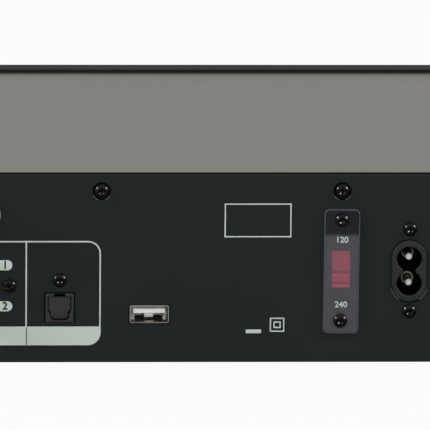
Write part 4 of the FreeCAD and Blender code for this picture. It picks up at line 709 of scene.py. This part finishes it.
# %% The tree that sets screws
screw_tree, given, result = new_tree("set_screws", {
    "Head": "Object", "Radius": "Float", "Height": "Float", "Loose Turn": "Float", "Seed": "Int",
    "Finish": "Material",
})
one = add(screw_tree, "GeometryNodeObjectInfo", {"Object": given.outputs["Head"]})
aim = add(screw_tree, "GeometryNodeInputNamedAttribute", {"Name": "aim"}, data_type="FLOAT_VECTOR")
driven = add(screw_tree, "GeometryNodeInputNamedAttribute", {"Name": "spin"}, data_type="FLOAT")
loose = add(screw_tree, "FunctionNodeRandomValue", {
    "Min": 0.0, "Max": given.outputs["Loose Turn"], "Seed": given.outputs["Seed"],
}, data_type="FLOAT")
spin = add(screw_tree, "ShaderNodeMath", {0: driven.outputs[0], 1: loose.outputs[1]}, operation="ADD")
about = add(screw_tree, "ShaderNodeCombineXYZ", {"Z": spin.outputs[0]})
pointed = add(screw_tree, "FunctionNodeAlignRotationToVector", {"Vector": aim.outputs[0]}, axis="Z")
turned_by = add(screw_tree, "FunctionNodeRotateRotation", {
    "Rotation": pointed.outputs[0], "Rotate By": about.outputs[0],
}, rotation_space="LOCAL")
scale = add(screw_tree, "ShaderNodeCombineXYZ", {
    "X": given.outputs["Radius"], "Y": given.outputs["Radius"], "Z": given.outputs["Height"],
})
placed = add(screw_tree, "GeometryNodeInstanceOnPoints", {
    "Points": given.outputs["Geometry"], "Instance": one.outputs["Geometry"],
    "Rotation": turned_by.outputs[0], "Scale": scale.outputs[0],
})
end_tree(screw_tree, given, result, placed.outputs[0])
print("tree", screw_tree.name, "ready")

# %% Set the screws
def screw_points(places):
    """A mesh of bare points with the direction and the turn of the screw on each."""
    mesh = bpy.data.meshes.new("places")
    mesh.from_pydata([Vector(spot) * MM for spot, _, _ in places], [], [])
    for name, kind in (("aim", "FLOAT_VECTOR"), ("spin", "FLOAT")):
        mesh.attributes.new(name, kind, "POINT")
    aims, spins = mesh.attributes["aim"].data, mesh.attributes["spin"].data
    for index, (_, direction, turn) in enumerate(places):
        aims[index].vector = direction
        spins[index].value = math.radians(turn)
    return mesh


BEHIND = (0, 1, 0)
SCREW_LEVEL, SCREW_PITCH = 66.1, 78.7
SIDE_LEVEL, SIDE_ROWS = 17.0, (-57.5, 72.5)
cover_half = box_of("top_cover")[1].x
cover_columns = [SCREW_PITCH * step for step in (-1.5, -0.5, 0.5, 1.5)]
cover_places = [((across, rear_face, SCREW_LEVEL), BEHIND, 0) for across in cover_columns]
for side in (-1, 1):
    cover_places += [((side * cover_half, along, SIDE_LEVEL), (side, 0, 0), 30) for along in SIDE_ROWS]
socket_places = [
    ((52.95, rear_face, 36.45), BEHIND, 0), ((69.45, rear_face, 34.5), BEHIND, 28),
    ((-39.3, selector_face, 56.6), BEHIND, 4), ((-39.0, selector_face, 23.1), BEHIND, -12),
    ((-61.75, rear_face, 53.4), BEHIND, 8), ((-61.7, rear_face, 26.0), BEHIND, -25),
]
for node, places, radius, height, seed in (
    ("cover_screws", cover_places, 2.5, 1.5, 3), ("socket_screws", socket_places, 2.4, 1.5, 5),
):
    mesh = baked(screw_points(places), screw_tree, {
        "Head": head, "Radius": radius * MM, "Height": height * MM, "Loose Turn": 0.12, "Seed": seed,
        "Finish": finishes["black_screws"],
    })
    as_piece(f"{node[:-1]}_heads", mesh, "black_screws", stands_for=[node], smooth=30)
bpy.data.objects.remove(head)

# %% [markdown]
# ## Details round the screws
#
# Behind each cover screw the steel is dished, so that the head sits low. A near-black disc round the head is
# painted shade, and two pale arcs on its lower edge are painted glints. The screws that hold the rear panel's
# foot come from below and are countersunk, so nothing stands out under the steel there; the solid's heads are
# pressed flat in a copy that stands for them.

# %% Screws under the floor
screws = frame["nodes"]["frame_screws"]
flush = screws.data.copy()
flush.transform(screws.matrix_world)
under, foot_front = (box_of("base_chassis")[0].z - 0.05) * MM, (rear_inner - 10) * MM
pressed = [vertex for vertex in flush.vertices if vertex.co.y > foot_front and vertex.co.z < under]
for vertex in pressed:
    vertex.co.z = under
work = bmesh.new()
work.from_mesh(flush)
bmesh.ops.remove_doubles(work, verts=work.verts, dist=0.001 * MM)
as_piece("frame_screws_flush", settled(work, Matrix.Identity(4)), "bright_steel", stands_for=["frame_screws"])
print("points pressed flat:", len(pressed))

# %% Dimples round the cover screws
# Painted glint: a pale, nearly matt grey on thin arcs stands in for light caught by an edge.
painted_glint_edge = plated("steel_edge_painted_glint", "#868985", "#747773", 0.5, 0.6, metallic=0.2)
dimple_glints, well_shade = [], []
for across in cover_columns:
    well_shade.append(moved(ring(3.0), -across, SCREW_LEVEL))
    dimple_glints += [moved(band(3.15, 0.16, low, low + 45, 12), -across, SCREW_LEVEL) for low in (205, 290)]
# Painted shade: a near-black disc round each cover screw head.
as_piece("cover_screw_wells", flat_shape(well_shade, rear_face - 0.01, rear_face + 0.02, rear), "panel_paint",
         finish=painted_shade_black)
# Painted glints: two pale arcs on the lower edge of each dish.
as_piece("cover_screw_dimples", flat_shape(dimple_glints, rear_face - 0.01, rear_face + 0.04, rear), "panel_paint",
         finish=painted_glint_edge)
print("dimples:", len(dimple_glints))

# %% [markdown]
# ## Voltage selector
#
# A red slide sits in a slot behind a screwed-on guard. The slide is moulded in one: a flat plate that
# closes the slot, and a ribbed nub to push. Its ribs are a paler red, a painted highlight, and a darker red
# strip above each is painted shade. The guard is cut from clear sheet, so its sawn edge is rough and shows as
# a paler line all round. It sits a touch askew, as its screws let it.

# %% The slide and its guard
SLIDE, GUARD = 39.2, (39.25, 39.5)
plate = (SLIDE, 36.7, 7.2, 19.8, 0.3)
as_piece("selector_slide", stepped(plate, [(0, rear_inner - 2), (0, rear_inner - 0.4)], rear), "red_moulding",
         body="voltage_slider", stands_for=["voltage_slider"])
ribs = []
for level, tall in ((38.35, 0.95), (34.75, 1.15)):
    foot, crest = box_loop(SLIDE, level, 5.9, tall, 0.1), box_loop(SLIDE, level - 0.12, 5.7, tall - 0.4, 0.1)
    ribs.append(loft([(foot, rear_inner - 0.5), (foot, rear_inner + 0.7), (crest, rear_inner + 1.2)], rear))
# Painted highlight: the ribs are a paler red than the slide.
as_piece("selector_ribs", joined(*ribs), "red_moulding", body="voltage_slider",
         finish=moulded("acetal_red_painted_highlight", "#FA5460", "#FF5C66", 0.4, 0.3))
# Painted shade: a darker red strip above each rib.
groove_shade = flat_shape([box_loop(SLIDE, level, 5.9, 0.5, 0.05) for level in (39.0, 35.5)],
                     rear_inner - 0.42, rear_inner - 0.36, rear)
as_piece("selector_grooves", groove_shade, "red_moulding", body="voltage_slider",
         finish=moulded("acetal_red_painted_shade", "#B8303C", "#C03844", 0.5, 0.3))

askew = rear @ at(*GUARD, -0.4) @ at(-GUARD[0], -GUARD[1])
sheet = (*GUARD, 11.6, 41.4, 1.7)
guard = [(0, rear_face + 0.02), (0, selector_face - 0.15), (0.15, selector_face)]
as_piece("selector_guard", stepped(sheet, guard, askew), "clear_plate", stands_for=["selector_cover"])
edge = [(-0.01, rear_face + 0.02), (-0.01, selector_face - 0.14), (0.16, selector_face + 0.01),
        (0.27, selector_face + 0.01), (0.27, selector_face - 0.05)]
as_piece("selector_guard_edge", stepped(sheet, edge, askew, closed=True), "clear_plate",
         finish=moulded("acrylic_sawn", "#4C4E58", "#565862", 0.6, 0.3))
for text, level in (("120", 50.1), ("240", 28.5)):
    number(f"print_number_{text}", text, askew @ at(GUARD[0], level), selector_face, 1.95, pale_ink)
print("selector at", GUARD)

# %% [markdown]
# ## Mains inlet
#
# The inlet's nose comes through the panel and holds two pins in a figure-eight well. The well is deep, and
# its near-black lining and floor are painted shade; the nose round it is a shade lighter and has soft edges.
# The pins are plated, with a chamfer that catches light; their near-white, nearly matt tips are a painted
# highlight. Each stands in a small collar whose pale grey is a painted highlight too. Two pale arcs on the
# lower edge of the hole in the panel are painted glints.

# %% Inlet
INLET = (61.55, 39.45)
LOBE_REACH, PIN_REACH = 4.05, 4.3
stand = rear @ at(*INLET)
low, high = box_of("mains_inlet")
well_floor, flange_back = high.y - 12, rear_inner - 2.4


def figure_eight(radius, waist):
    """Two circles above each other, joined by a waist of this half width."""
    start, steps = -math.acos(waist / radius), 28
    angles = [start + (math.pi - 2 * start) * step / steps for step in range(steps + 1)]
    lobe = moved(arc(radius, angles), 0, LOBE_REACH)
    return lobe + [(-u, -v) for u, v in lobe]


eight, lining = figure_eight(4.1, 2.1), figure_eight(4.02, 2.02)
nose = box_loop(0, 0, 11.4, 20.4, 5.69)
flange = box_loop(0, 0, high.x - low.x - 0.02, high.z - low.z - 0.02, (high.x - low.x) / 2 - 0.02)
inlet = joined(
    flat_shape([nose, hole(eight)], rear_inner, high.y, stand, edge=0.35),
    flat_shape([flange, hole(eight)], flange_back, rear_inner, stand),
    flat_shape([nose, hole(eight)], well_floor, flange_back, stand),
    flat_shape([nose], low.y, well_floor, stand),
)
as_piece("inlet_body", inlet, "inlet_moulding", stands_for=["mains_inlet"])
# Painted shade: the well's lining and floor are near-black.
wall = [(eight, high.y - 0.4), (lining, high.y - 0.4), (lining, well_floor), (eight, well_floor)]
bottom = flat_shape([lining], well_floor - 0.02, well_floor + 0.03, stand)
well = joined(loft(wall, stand, closed=True), bottom)
as_piece("inlet_well", well, "inlet_moulding", finish=painted_shade_black)
# Painted glints: two pale arcs on the lower edge of the hole.
rim = [moved(band(6.1, 0.16, low, low + 42, 12), 0, -4.5) for low in (195, 303)]
as_piece("inlet_hole_edge", flat_shape(rim, rear_face - 0.01, rear_face + 0.04, stand), "panel_paint",
         finish=painted_glint_edge)

tail, tip = [corner.y for corner in box_of("inlet_pins")]
TIP = [(1.15, -1.1), (1.02, -0.62), (0.76, -0.31), (0.4, -0.07), (0.1, 0.0)]
COLLAR = [(1.5, 0.0), (1.6, 0.5), (1.95, 0.5), (2.05, 0.0)]
pins, tips, collars = [], [], []
for side in (-1, 1):
    spot = stand @ at(0, side * PIN_REACH)
    pins.append(turned([(1.15, tail), (1.15, tip - 1.1)], spot))
    tips.append(turned([(radius, tip + depth) for radius, depth in TIP], spot))
    collars.append(turned([(radius, well_floor + rise) for radius, rise in COLLAR], spot, closed=True))
# Painted highlight: the tips are near-white and nearly matt, standing in for the mirrored lamp.
tip_painted_highlight = plated("nickel_pin_tip_painted_highlight", "#FFFFFC", "#F8F7F2", 0.36, 0.7, metallic=0.1)
# Painted highlight: the collars are a pale, nearly matt grey.
collar_painted_highlight = plated("nickel_collar_painted_highlight", "#A8A69C", "#98968C", 0.4, 0.7, metallic=0.2)
as_piece("inlet_pins_plated", joined(*pins), "bright_steel", finish=finishes["nickel_plate"],
         stands_for=["inlet_pins"])
as_piece("inlet_pin_tips", joined(*tips), "bright_steel", finish=tip_painted_highlight)
as_piece("inlet_collars", joined(*collars), "inlet_moulding", finish=collar_painted_highlight)
print("inlet pins:", len(pins))

# %% [markdown]
# ## Optical socket
#
# A square moulding with a shield-shaped mouth, a notch above it, and a sprung flap inside. The flap is a
# little smaller than the mouth, and the dark gap round it is what draws its outline; the mouth's inner wall
# is near-black, painted shade, and a near-black painted shadow runs round the sides and top of the body.
# The flap hangs on its own body, so that it can swing in when a plug comes.

# %% Optical socket and flap
OPTICAL = (-middle("optical_socket").x, 27.4)
stand = rear @ at(*OPTICAL)
low, high = box_of("optical_socket")
flap_front = box_of("optical_shutter")[1].y
mouth_back, room_back = rear_inner - 0.1, low.y + 1.4
HALF_MOUTH = [(0.0, -4.2), (1.7, -4.2), (2.35, -4.05), (2.85, -3.6), (3.12, -3.0), (3.14, -1.9), (3.5, -1.6),
              (3.86, -1.1)]


def shield(gap=0.0, top=3.7, notch=()):
    """The mouth's outline, drawn inwards by gap, with or without its notch."""
    side = [(max(u - gap, 0), v + gap * 0.9) for u, v in HALF_MOUTH] + [(HALF_MOUTH[-1][0] - gap, top)]
    if notch:
        side += [(notch[0], top), notch]
    return side + [(-u, v) for u, v in reversed(side) if u > 0]


mouth, inner_mouth = shield(notch=(1.8, 4.7)), shield(0.1, notch=(1.72, 4.62))
square = box_loop(0, 0.05, 9.2, 9.3, 0.25)
socket = joined(
    flat_shape([square, hole(mouth)], mouth_back, high.y, stand, edge=0.06),
    flat_shape([square, hole(box_loop(0, -0.2, 8.2, 8.6, 0.1))], room_back, mouth_back, stand),
    flat_shape([square], low.y, room_back, stand),
)
socket_plastic = moulded("abs_socket", "#353639", "#3B3C3F", 0.5, 0.25)
as_piece("optical_body", socket, "black_moulding", finish=socket_plastic, stands_for=["optical_socket"])
printed("optical_sill", [rounded((-4.5, -5.0), (4.5, -4.5), 0.05)], socket_plastic, stand)
# Painted shade: the mouth's inner wall is near-black.
wall = [(mouth, high.y - 0.1), (inner_mouth, high.y - 0.1), (inner_mouth, mouth_back), (mouth, mouth_back)]
as_piece("optical_mouth_wall", loft(wall, stand, closed=True), "black_moulding", finish=painted_shade_black)
# Painted shadow: a near-black line round the sides and top of the body.
shadow = [(-5.0, -4.5), (-4.5, -4.5), (-4.5, 4.6), (4.5, 4.6), (4.5, -4.5), (5.0, -4.5), (5.0, 4.98),
          (-5.0, 4.98)]
printed("optical_hole_shadow", [shadow], painted_shade_black, stand)
hinge = stand @ Matrix.Translation((0, 3.38, flap_front - 0.35)) @ Matrix.Rotation(math.pi / 2, 4, "Y")
lowered = stand @ at(0, -0.45)
door = flat_shape([shield(0.3, top=3.9)], flap_front - 0.5, flap_front - 0.02, lowered, edge=0.08)
pin = turned([(0.33, -4.05), (0.33, 4.05)], hinge, 16)
as_piece("optical_flap", joined(door, pin), "shutter_moulding", body="optical_shutter",
         stands_for=["optical_shutter"],
         finish=moulded("abs_flap", "#434547", "#4A4C4E", 0.5, 0.25))
print("optical socket at", OPTICAL)

# %% [markdown]
# ## Data port
#
# The port's shell is folded from thin plated sheet, so its corners are round outside. Its front edge is
# near-white and nearly matt: a painted highlight. Inside is a pale tongue with a rib under it; its contacts
# face down, out of sight. The shell's floor has two windows where its springs are bent in: dark strips in
# them are painted shade, and the pale strips beside them are painted glints.

# %% Data port
low, high = box_of("usb_shell")
port_u, port_v, port_front = 0.1 - (low.x + high.x) / 2, 0.2 + (low.z + high.z) / 2, high.y
port, lip = (port_u, port_v, 12.75, 5.75, 0.75), (port_u, port_v, 12.8, 5.8, 0.78)
folded = [(0, low.y), (0, port_front - 0.1), (0.1, port_front), (0.25, port_front), (0.32, port_front - 0.1),
          (0.32, low.y)]
as_piece("usb_shell_folded", stepped(port, folded, rear, closed=True), "nickel_plate",
         finish=plated("nickel_plate_shell", "#C9C3B6", "#B5AFA2", 0.3, 0.7), stands_for=["usb_shell"])

low, high = box_of("usb_tongue")
shelf = (port_u - 0.06, port_v + 0.95, 10.52, 1.55, 0.1)
root = box_loop(port_u - 0.1, port_v - 0.6, 2.9, 1.9, 0.1)
nib = box_loop(port_u - 0.1, port_v - 0.2, 2.9, 1.1, 0.1)
tongue = joined(
    stepped(shelf, [(0, low.y), (0, high.y - 0.2), (0.12, high.y)], rear),
    stepped((port_u, port_v, 12.2, 4.9, 0.2), [(0, low.y), (0, low.y + 2.8)], rear),
    loft([(root, low.y + 2), (root, rear_inner - 1.5), (nib, rear_inner - 0.9)], rear),
)
as_piece("usb_tongue_moulded", tongue, "white_moulding", stands_for=["usb_tongue", "usb_contacts"],
         finish=moulded("lcp_white", "#FFFFFF", "#F8FAFB", 0.35, 0.3))

# Painted highlight: near-white, nearly matt nickel stands in for glints on the lip and the floor strips.
painted_glint_nickel = plated("nickel_painted_glint", "#FFFBEE", "#F4F0E2", 0.4, 0.7, metallic=0.05)
curl = [(0, -0.3), (0.05, -0.08), (0.13, 0.02), (0.24, -0.08), (0.28, -0.3)]
as_piece("usb_lip", stepped(lip, [(inset, port_front + reach) for inset, reach in curl], rear, closed=True),
         "nickel_plate", finish=painted_glint_nickel)
shell_floor = port_v - 2.5
# Painted shade: dark strips on the shell's floor in its spring windows.
WINDOW_DEPTHS = [(0, rear_inner - 11), (0, rear_face + 0.1)]
windows = [stepped((port_u + side, shell_floor, 3.0, 0.1, 0.04), WINDOW_DEPTHS, rear) for side in (-3.2, 3.0)]
as_piece("usb_spring_windows", joined(*windows), "black_moulding", finish=dark_print_and_shade_ink)
# Painted glints: pale strips on the shell's floor beside the windows.
RISE = [(0.02, 2.4), (0.5, 3.8), (1.2, 5.6)]
floors = []
for side in (-5.3, 5.1):
    strip = [box_loop(port_u + side, shell_floor + lift, 1.1, 0.12, 0.04) for lift, _ in RISE]
    floors.append(loft([(loop, rear_inner - deep) for loop, (_, deep) in zip(strip, RISE)], rear))
as_piece("usb_floor_plating", joined(*floors), "nickel_plate", finish=painted_glint_nickel)
print("data port at", round(port_u, 2), round(port_v, 2))

# %% [markdown]
# ## Antenna socket
#
# A threaded barrel with a nut. A real thread is a helix, so the tree sweeps a small square, set on its
# corner, along a spiral whose turns follow from the length and the pitch. The nut is a hexagon with both
# ends chamfered, on a round washer that sits a little loose.

# %% The tree that winds a thread
thread_tree, given, result = new_tree("wind_thread", {
    "Radius": "Float", "Pitch": "Float", "Start": "Float", "Length": "Float", "Depth": "Float",
    "Finish": "Material",
})
radius, length = given.outputs["Radius"], given.outputs["Length"]
turns = add(thread_tree, "ShaderNodeMath", {0: length, 1: given.outputs["Pitch"]}, operation="DIVIDE")
spiral = add(thread_tree, "GeometryNodeCurveSpiral", {
    "Resolution": 48, "Rotations": turns.outputs[0], "Start Radius": radius, "End Radius": radius,
    "Height": length,
})
tooth = add(thread_tree, "GeometryNodeCurvePrimitiveCircle", {
    "Resolution": 4, "Radius": given.outputs["Depth"],
})
helix = add(thread_tree, "GeometryNodeCurveToMesh", {
    "Curve": spiral.outputs[0], "Profile Curve": tooth.outputs[0], "Fill Caps": True,
})
end_on_base(thread_tree, given, result, helix.outputs[0], "Start")

# %% Antenna socket
aerial = middle("antenna_nut")
stand = rear @ at(-aerial.x, aerial.z)
low, high = box_of("antenna_socket")
BARREL = [(7.0, low.y), (7.0, rear_inner - 0.05), (4.3, rear_inner), (4.3, high.y - 0.5), (3.9, high.y),
          (3.0, high.y), (3.0, low.y)]
mesh = baked(turned(BARREL, at(0, 0), closed=True), thread_tree, {
    "Radius": 4.38, "Pitch": 0.8, "Start": rear_face + 2.9, "Length": 7.2, "Depth": 0.36,
    "Finish": finishes["gold_plate"],
})
mesh.transform(stand)
as_piece("antenna_barrel", mesh, "gold_plate", stands_for=["antenna_socket"], smooth=30)
low, high = box_of("antenna_nut")
corners = (high.x - low.x) / math.sqrt(3)
NUT = [(0.94, 0.02), (1.0, 0.3), (1.0, 2.7), (0.93, 3.0)]
nut = turned([(corners * share, rear_face + reach) for share, reach in NUT], stand, 6, math.pi / 6)
as_piece("antenna_nut_chamfered", nut, "nickel_plate", stands_for=["antenna_nut"], smooth=20)
WASHER = [(5.4, 0.0), (5.67, 0.1), (5.67, 0.6), (5.5, 0.7), (4.5, 0.7), (4.5, 0.0)]
washer = turned([(radius, rear_face + reach) for radius, reach in WASHER], stand @ at(0, 0.3), closed=True)
as_piece("antenna_washer", washer, "nickel_plate",
         finish=plated("nickel_washer", "#989786", "#8A8978", 0.5, 0.7, metallic=0.1))
print("antenna at", round(aerial.x, 2), round(aerial.z, 2))

# %% [markdown]
# ## Tuning knob
#
# The knob was turned and then milled round its edge for grip. Its core is a stack of circles with a
# slightly dished face, and the tree sets a slim round bar along each milled ridge, so that count and
# size stay adjustable. A pale inlay in the face shows how far the knob has turned.

# %% The tree that mills a grip
grip_tree, given, result = new_tree("mill_grip", {
    "Radius": "Float", "Count": "Int", "Ridge": "Float", "Length": "Float", "Middle": "Float",
    "Finish": "Material",
})
around = add(grip_tree, "GeometryNodeMeshCircle", {
    "Vertices": given.outputs["Count"], "Radius": given.outputs["Radius"],
})
bar = add(grip_tree, "GeometryNodeMeshCylinder", {
    "Vertices": 8, "Radius": given.outputs["Ridge"], "Depth": given.outputs["Length"],
})
bars = add(grip_tree, "GeometryNodeInstanceOnPoints", {
    "Points": around.outputs[0], "Instance": bar.outputs[0],
})
end_on_base(grip_tree, given, result, bars.outputs[0], "Middle")

# %% Tuning knob
knob = middle("tuning_knob")
stand = front @ at(knob.x, knob.z)
low, high = box_of("tuning_knob")
back, face = -high.y, -low.y
KNOB = [(17.2, back), (18.3, back + 0.5), (18.3, face - 1.6), (17.9, face - 0.9), (17.2, face - 0.3),
        (16.4, face), (15.6, face - 0.02), (12.0, face - 0.25), (6.0, face - 0.4), (1.0, face - 0.45)]
mesh = baked(turned(KNOB, at(0, 0), 96), grip_tree, {
    "Radius": 18.35, "Count": 84, "Ridge": 0.5, "Length": face - back - 3.2,
    "Middle": (face + back - 0.8) / 2, "Finish": finishes["knob_aluminium"],
})
mesh.transform(stand)
as_piece("knob_turned", mesh, "knob_aluminium", body="tuning_control", stands_for=["tuning_knob"], smooth=30)
inlay = flat_shape([box_loop(0, 14.3, 1.1, 3.2, 0.5)], face - 0.5, face - 0.01, stand)
as_piece("knob_inlay", inlay, "white_moulding", body="tuning_control")
print("knob face at", round(face, 2))

# %% [markdown]
# ## Display and button marks
#
# Behind the smoked window a display shows a plain number and a row of level bars. Its glyphs are the
# classic seven segments: six-sided bars that light up or not. They glow a little, or the smoked window
# would hide them. The buttons carry simple marks: bars, triangles, a dot and a ring.

# %% Display
def segment(u, v, length, thick, upright):
    """One six-sided bar of a digit."""
    half, edge = length / 2, thick / 2
    side = [(half, 0), (half - edge, edge), (-half + edge, edge)]
    bar = [(-x, -y) for x, y in side] + side
    return [(u - y, v + x) if upright else (u + x, v + y) for x, y in bar]


LIT = {"9": "abcdfg", "8": "abcdefg", "5": "acdfg"}
WIDE, TALL, THICK = 6.4, 12.4, 1.15


def digit(character, u, v):
    half, up = WIDE / 2, TALL / 2
    spots = {"a": (0, up, 0), "b": (half, up / 2, 1), "c": (half, -up / 2, 1), "d": (0, -up, 0),
             "e": (-half, -up / 2, 1), "f": (-half, up / 2, 1), "g": (0, 0, 0)}
    bars = []
    for name in LIT[character]:
        x, y, upright = spots[name]
        bars.append(segment(u + x, v + y, (up if upright else WIDE) - 0.35, THICK, upright))
    return bars


glow, tree, shader, place = new_material("phosphor_pale")
set_inputs(tree, shader, {
    "Base Color": blend(tree, noise(tree, place, 0.4, 2), "#7FCBBF", "#9DE6DA"), "Roughness": 0.5,
    "Emission Color": srgb("#9DE6DA"), "Emission Strength": 0.9,
})

screen = middle("display_module")
face = -box_of("display_module")[0].y
glyphs = digit("9", 2, 0) + digit("8", 12, 0) + digit("5", 25, 0) + [moved(ring(0.75, 16), 18.5, -TALL / 2)]
for step in range(6):
    glyphs.append(box_loop(-36 + step * 2.6, -TALL / 2 + 0.9 + step * 0.7, 1.5, 1.8 + step * 1.4, 0.1))
as_piece("display_glyphs", flat_shape(glyphs, face - 0.02, face + 0.06, front @ at(screen.x, screen.z)),
         "display_glass", finish=glow)
print("glyphs:", len(glyphs))

# %% Marks on the buttons
def triangle(direction):
    return [[(direction * 1.1, 0), (-direction * 0.9, 1.15), (-direction * 0.9, -1.15)]]


marks = {
    "menu_button": [box_loop(0, step, 2.6, 0.4, 0.1) for step in (-0.9, 0, 0.9)],
    "band_button": [box_loop(step, 0, 0.4, 2.4, 0.1) for step in (-0.9, 0, 0.9)],
    "preset_down_button": triangle(-1), "preset_up_button": triangle(1), "store_button": [ring(0.9, 24)],
    "power_button": [band(2.4, 0.45, 125, 415), box_loop(0, 2.2, 0.45, 2.2, 0.1)],
}
for button, loops in marks.items():
    centre, level = middle(button), -box_of(button)[0].y
    mesh = flat_shape(loops, level - 0.01, level + INK, front @ at(centre.x, centre.z))
    as_piece(f"mark_{button}", mesh, "white_moulding", body=button, finish=pale_ink)
print("marks:", len(marks))

# %% [markdown]
# ## Floor and light
#
# The picture was taken on a white sweep, which has gone pure white. A large pale floor does the same: to
# the camera it is mostly plain white, with a little real shading mixed in so that the soft shadow under
# the case stays. In the metal and the satin paint the floor shows darker, as the shaded paper there was.
# The world is the sweep itself: bright beyond the front, where the cover mirrors it, and dim behind the
# camera. Two softboxes at the sides draw the arcs on the screw heads, and a third above the camera fills
# the sockets. It is kept out of the mirrors, or it would glare off the cover for anybody in front. All
# stay at a plain level, so that a colour renders about as it is written.

# %% Floor
def seen_plainly(tree):
    """The light path node, and 1 for what the camera sees straight or through clear plastic."""
    rays = add(tree, "ShaderNodeLightPath")
    seen = add(tree, "ShaderNodeMath", {
        0: rays.outputs["Is Camera Ray"], 1: rays.outputs["Is Transmission Ray"],
    }, operation="MAXIMUM")
    return rays, seen.outputs[0]


REACH, WHITE = 30, (1, 1, 1, 1)
floor_mesh = bpy.data.meshes.new("floor")
floor_mesh.from_pydata([(-REACH, -REACH, 0), (REACH, -REACH, 0), (REACH, REACH, 0), (-REACH, REACH, 0)],
                       [], [(0, 1, 2, 3)])
floor = linked("floor", floor_mesh)
paper_white = bpy.data.materials.new("paper_white")
paper_white.use_nodes = True
tree = paper_white.node_tree
tree.nodes.clear()
rays, seen = seen_plainly(tree)
share = add(tree, "ShaderNodeMath", {0: seen, 1: 0.96}, operation="MULTIPLY")
shade = blend(tree, rays.outputs["Is Glossy Ray"], "#D2D2D0", "#3A3A38")
paper = add(tree, "ShaderNodeBsdfDiffuse", {"Color": shade})
plain = add(tree, "ShaderNodeEmission", {"Color": WHITE, "Strength": 1.0})
both = add(tree, "ShaderNodeMixShader", {0: share.outputs[0], 1: paper.outputs[0], 2: plain.outputs[0]})
add(tree, "ShaderNodeOutputMaterial", {"Surface": both.outputs[0]})
floor_mesh.materials.append(paper_white)

# %% World and lamps
world = bpy.data.worlds.new("studio")
bpy.context.scene.world = world
world.use_nodes = True
tree = world.node_tree
tree.nodes.clear()
way = add(tree, "ShaderNodeSeparateXYZ", {0: add(tree, "ShaderNodeTexCoord").outputs["Generated"]})
sweep = add(tree, "ShaderNodeMapRange", {
    "Value": way.outputs["Y"], "From Min": -0.9, "From Max": 0.0, "To Min": 0.91, "To Max": 0.16,
}, interpolation_type="SMOOTHSTEP")
even = add(tree, "ShaderNodeBackground", {"Color": srgb("#FBF9F2"), "Strength": sweep.outputs[0]})
plain = add(tree, "ShaderNodeBackground", {"Color": WHITE, "Strength": 1.0})
both = add(tree, "ShaderNodeMixShader", {0: seen_plainly(tree)[1], 1: even.outputs[0], 2: plain.outputs[0]})
add(tree, "ShaderNodeOutputWorld", {"Surface": both.outputs[0]})

for name, spot, wide, tall, power in (
    ("softbox_left", (1.5, 0.6, 0.95), 0.27, 0.5, 9), ("softbox_right", (-1.5, 0.6, 0.95), 0.27, 0.5, 9),
    ("softbox_rear", (0.1, 1.9, 0.6), 0.42, 0.42, 14.5),
):
    lamp_data = bpy.data.lights.new(name, "AREA")
    lamp_data.shape, lamp_data.size, lamp_data.size_y = "RECTANGLE", wide, tall
    lamp_data.energy = power
    lamp = bpy.data.objects.new(name, lamp_data)
    lamp.location = spot
    lamp.rotation_mode = "QUATERNION"
    lamp.rotation_quaternion = (Vector((0, 0, 0.05)) - lamp.location).to_track_quat("-Z", "Y")
    lamp.visible_camera = False
    lamp.visible_glossy = name != "softbox_rear"
    bpy.context.scene.collection.objects.link(lamp)
print("floor, world and three lamps")
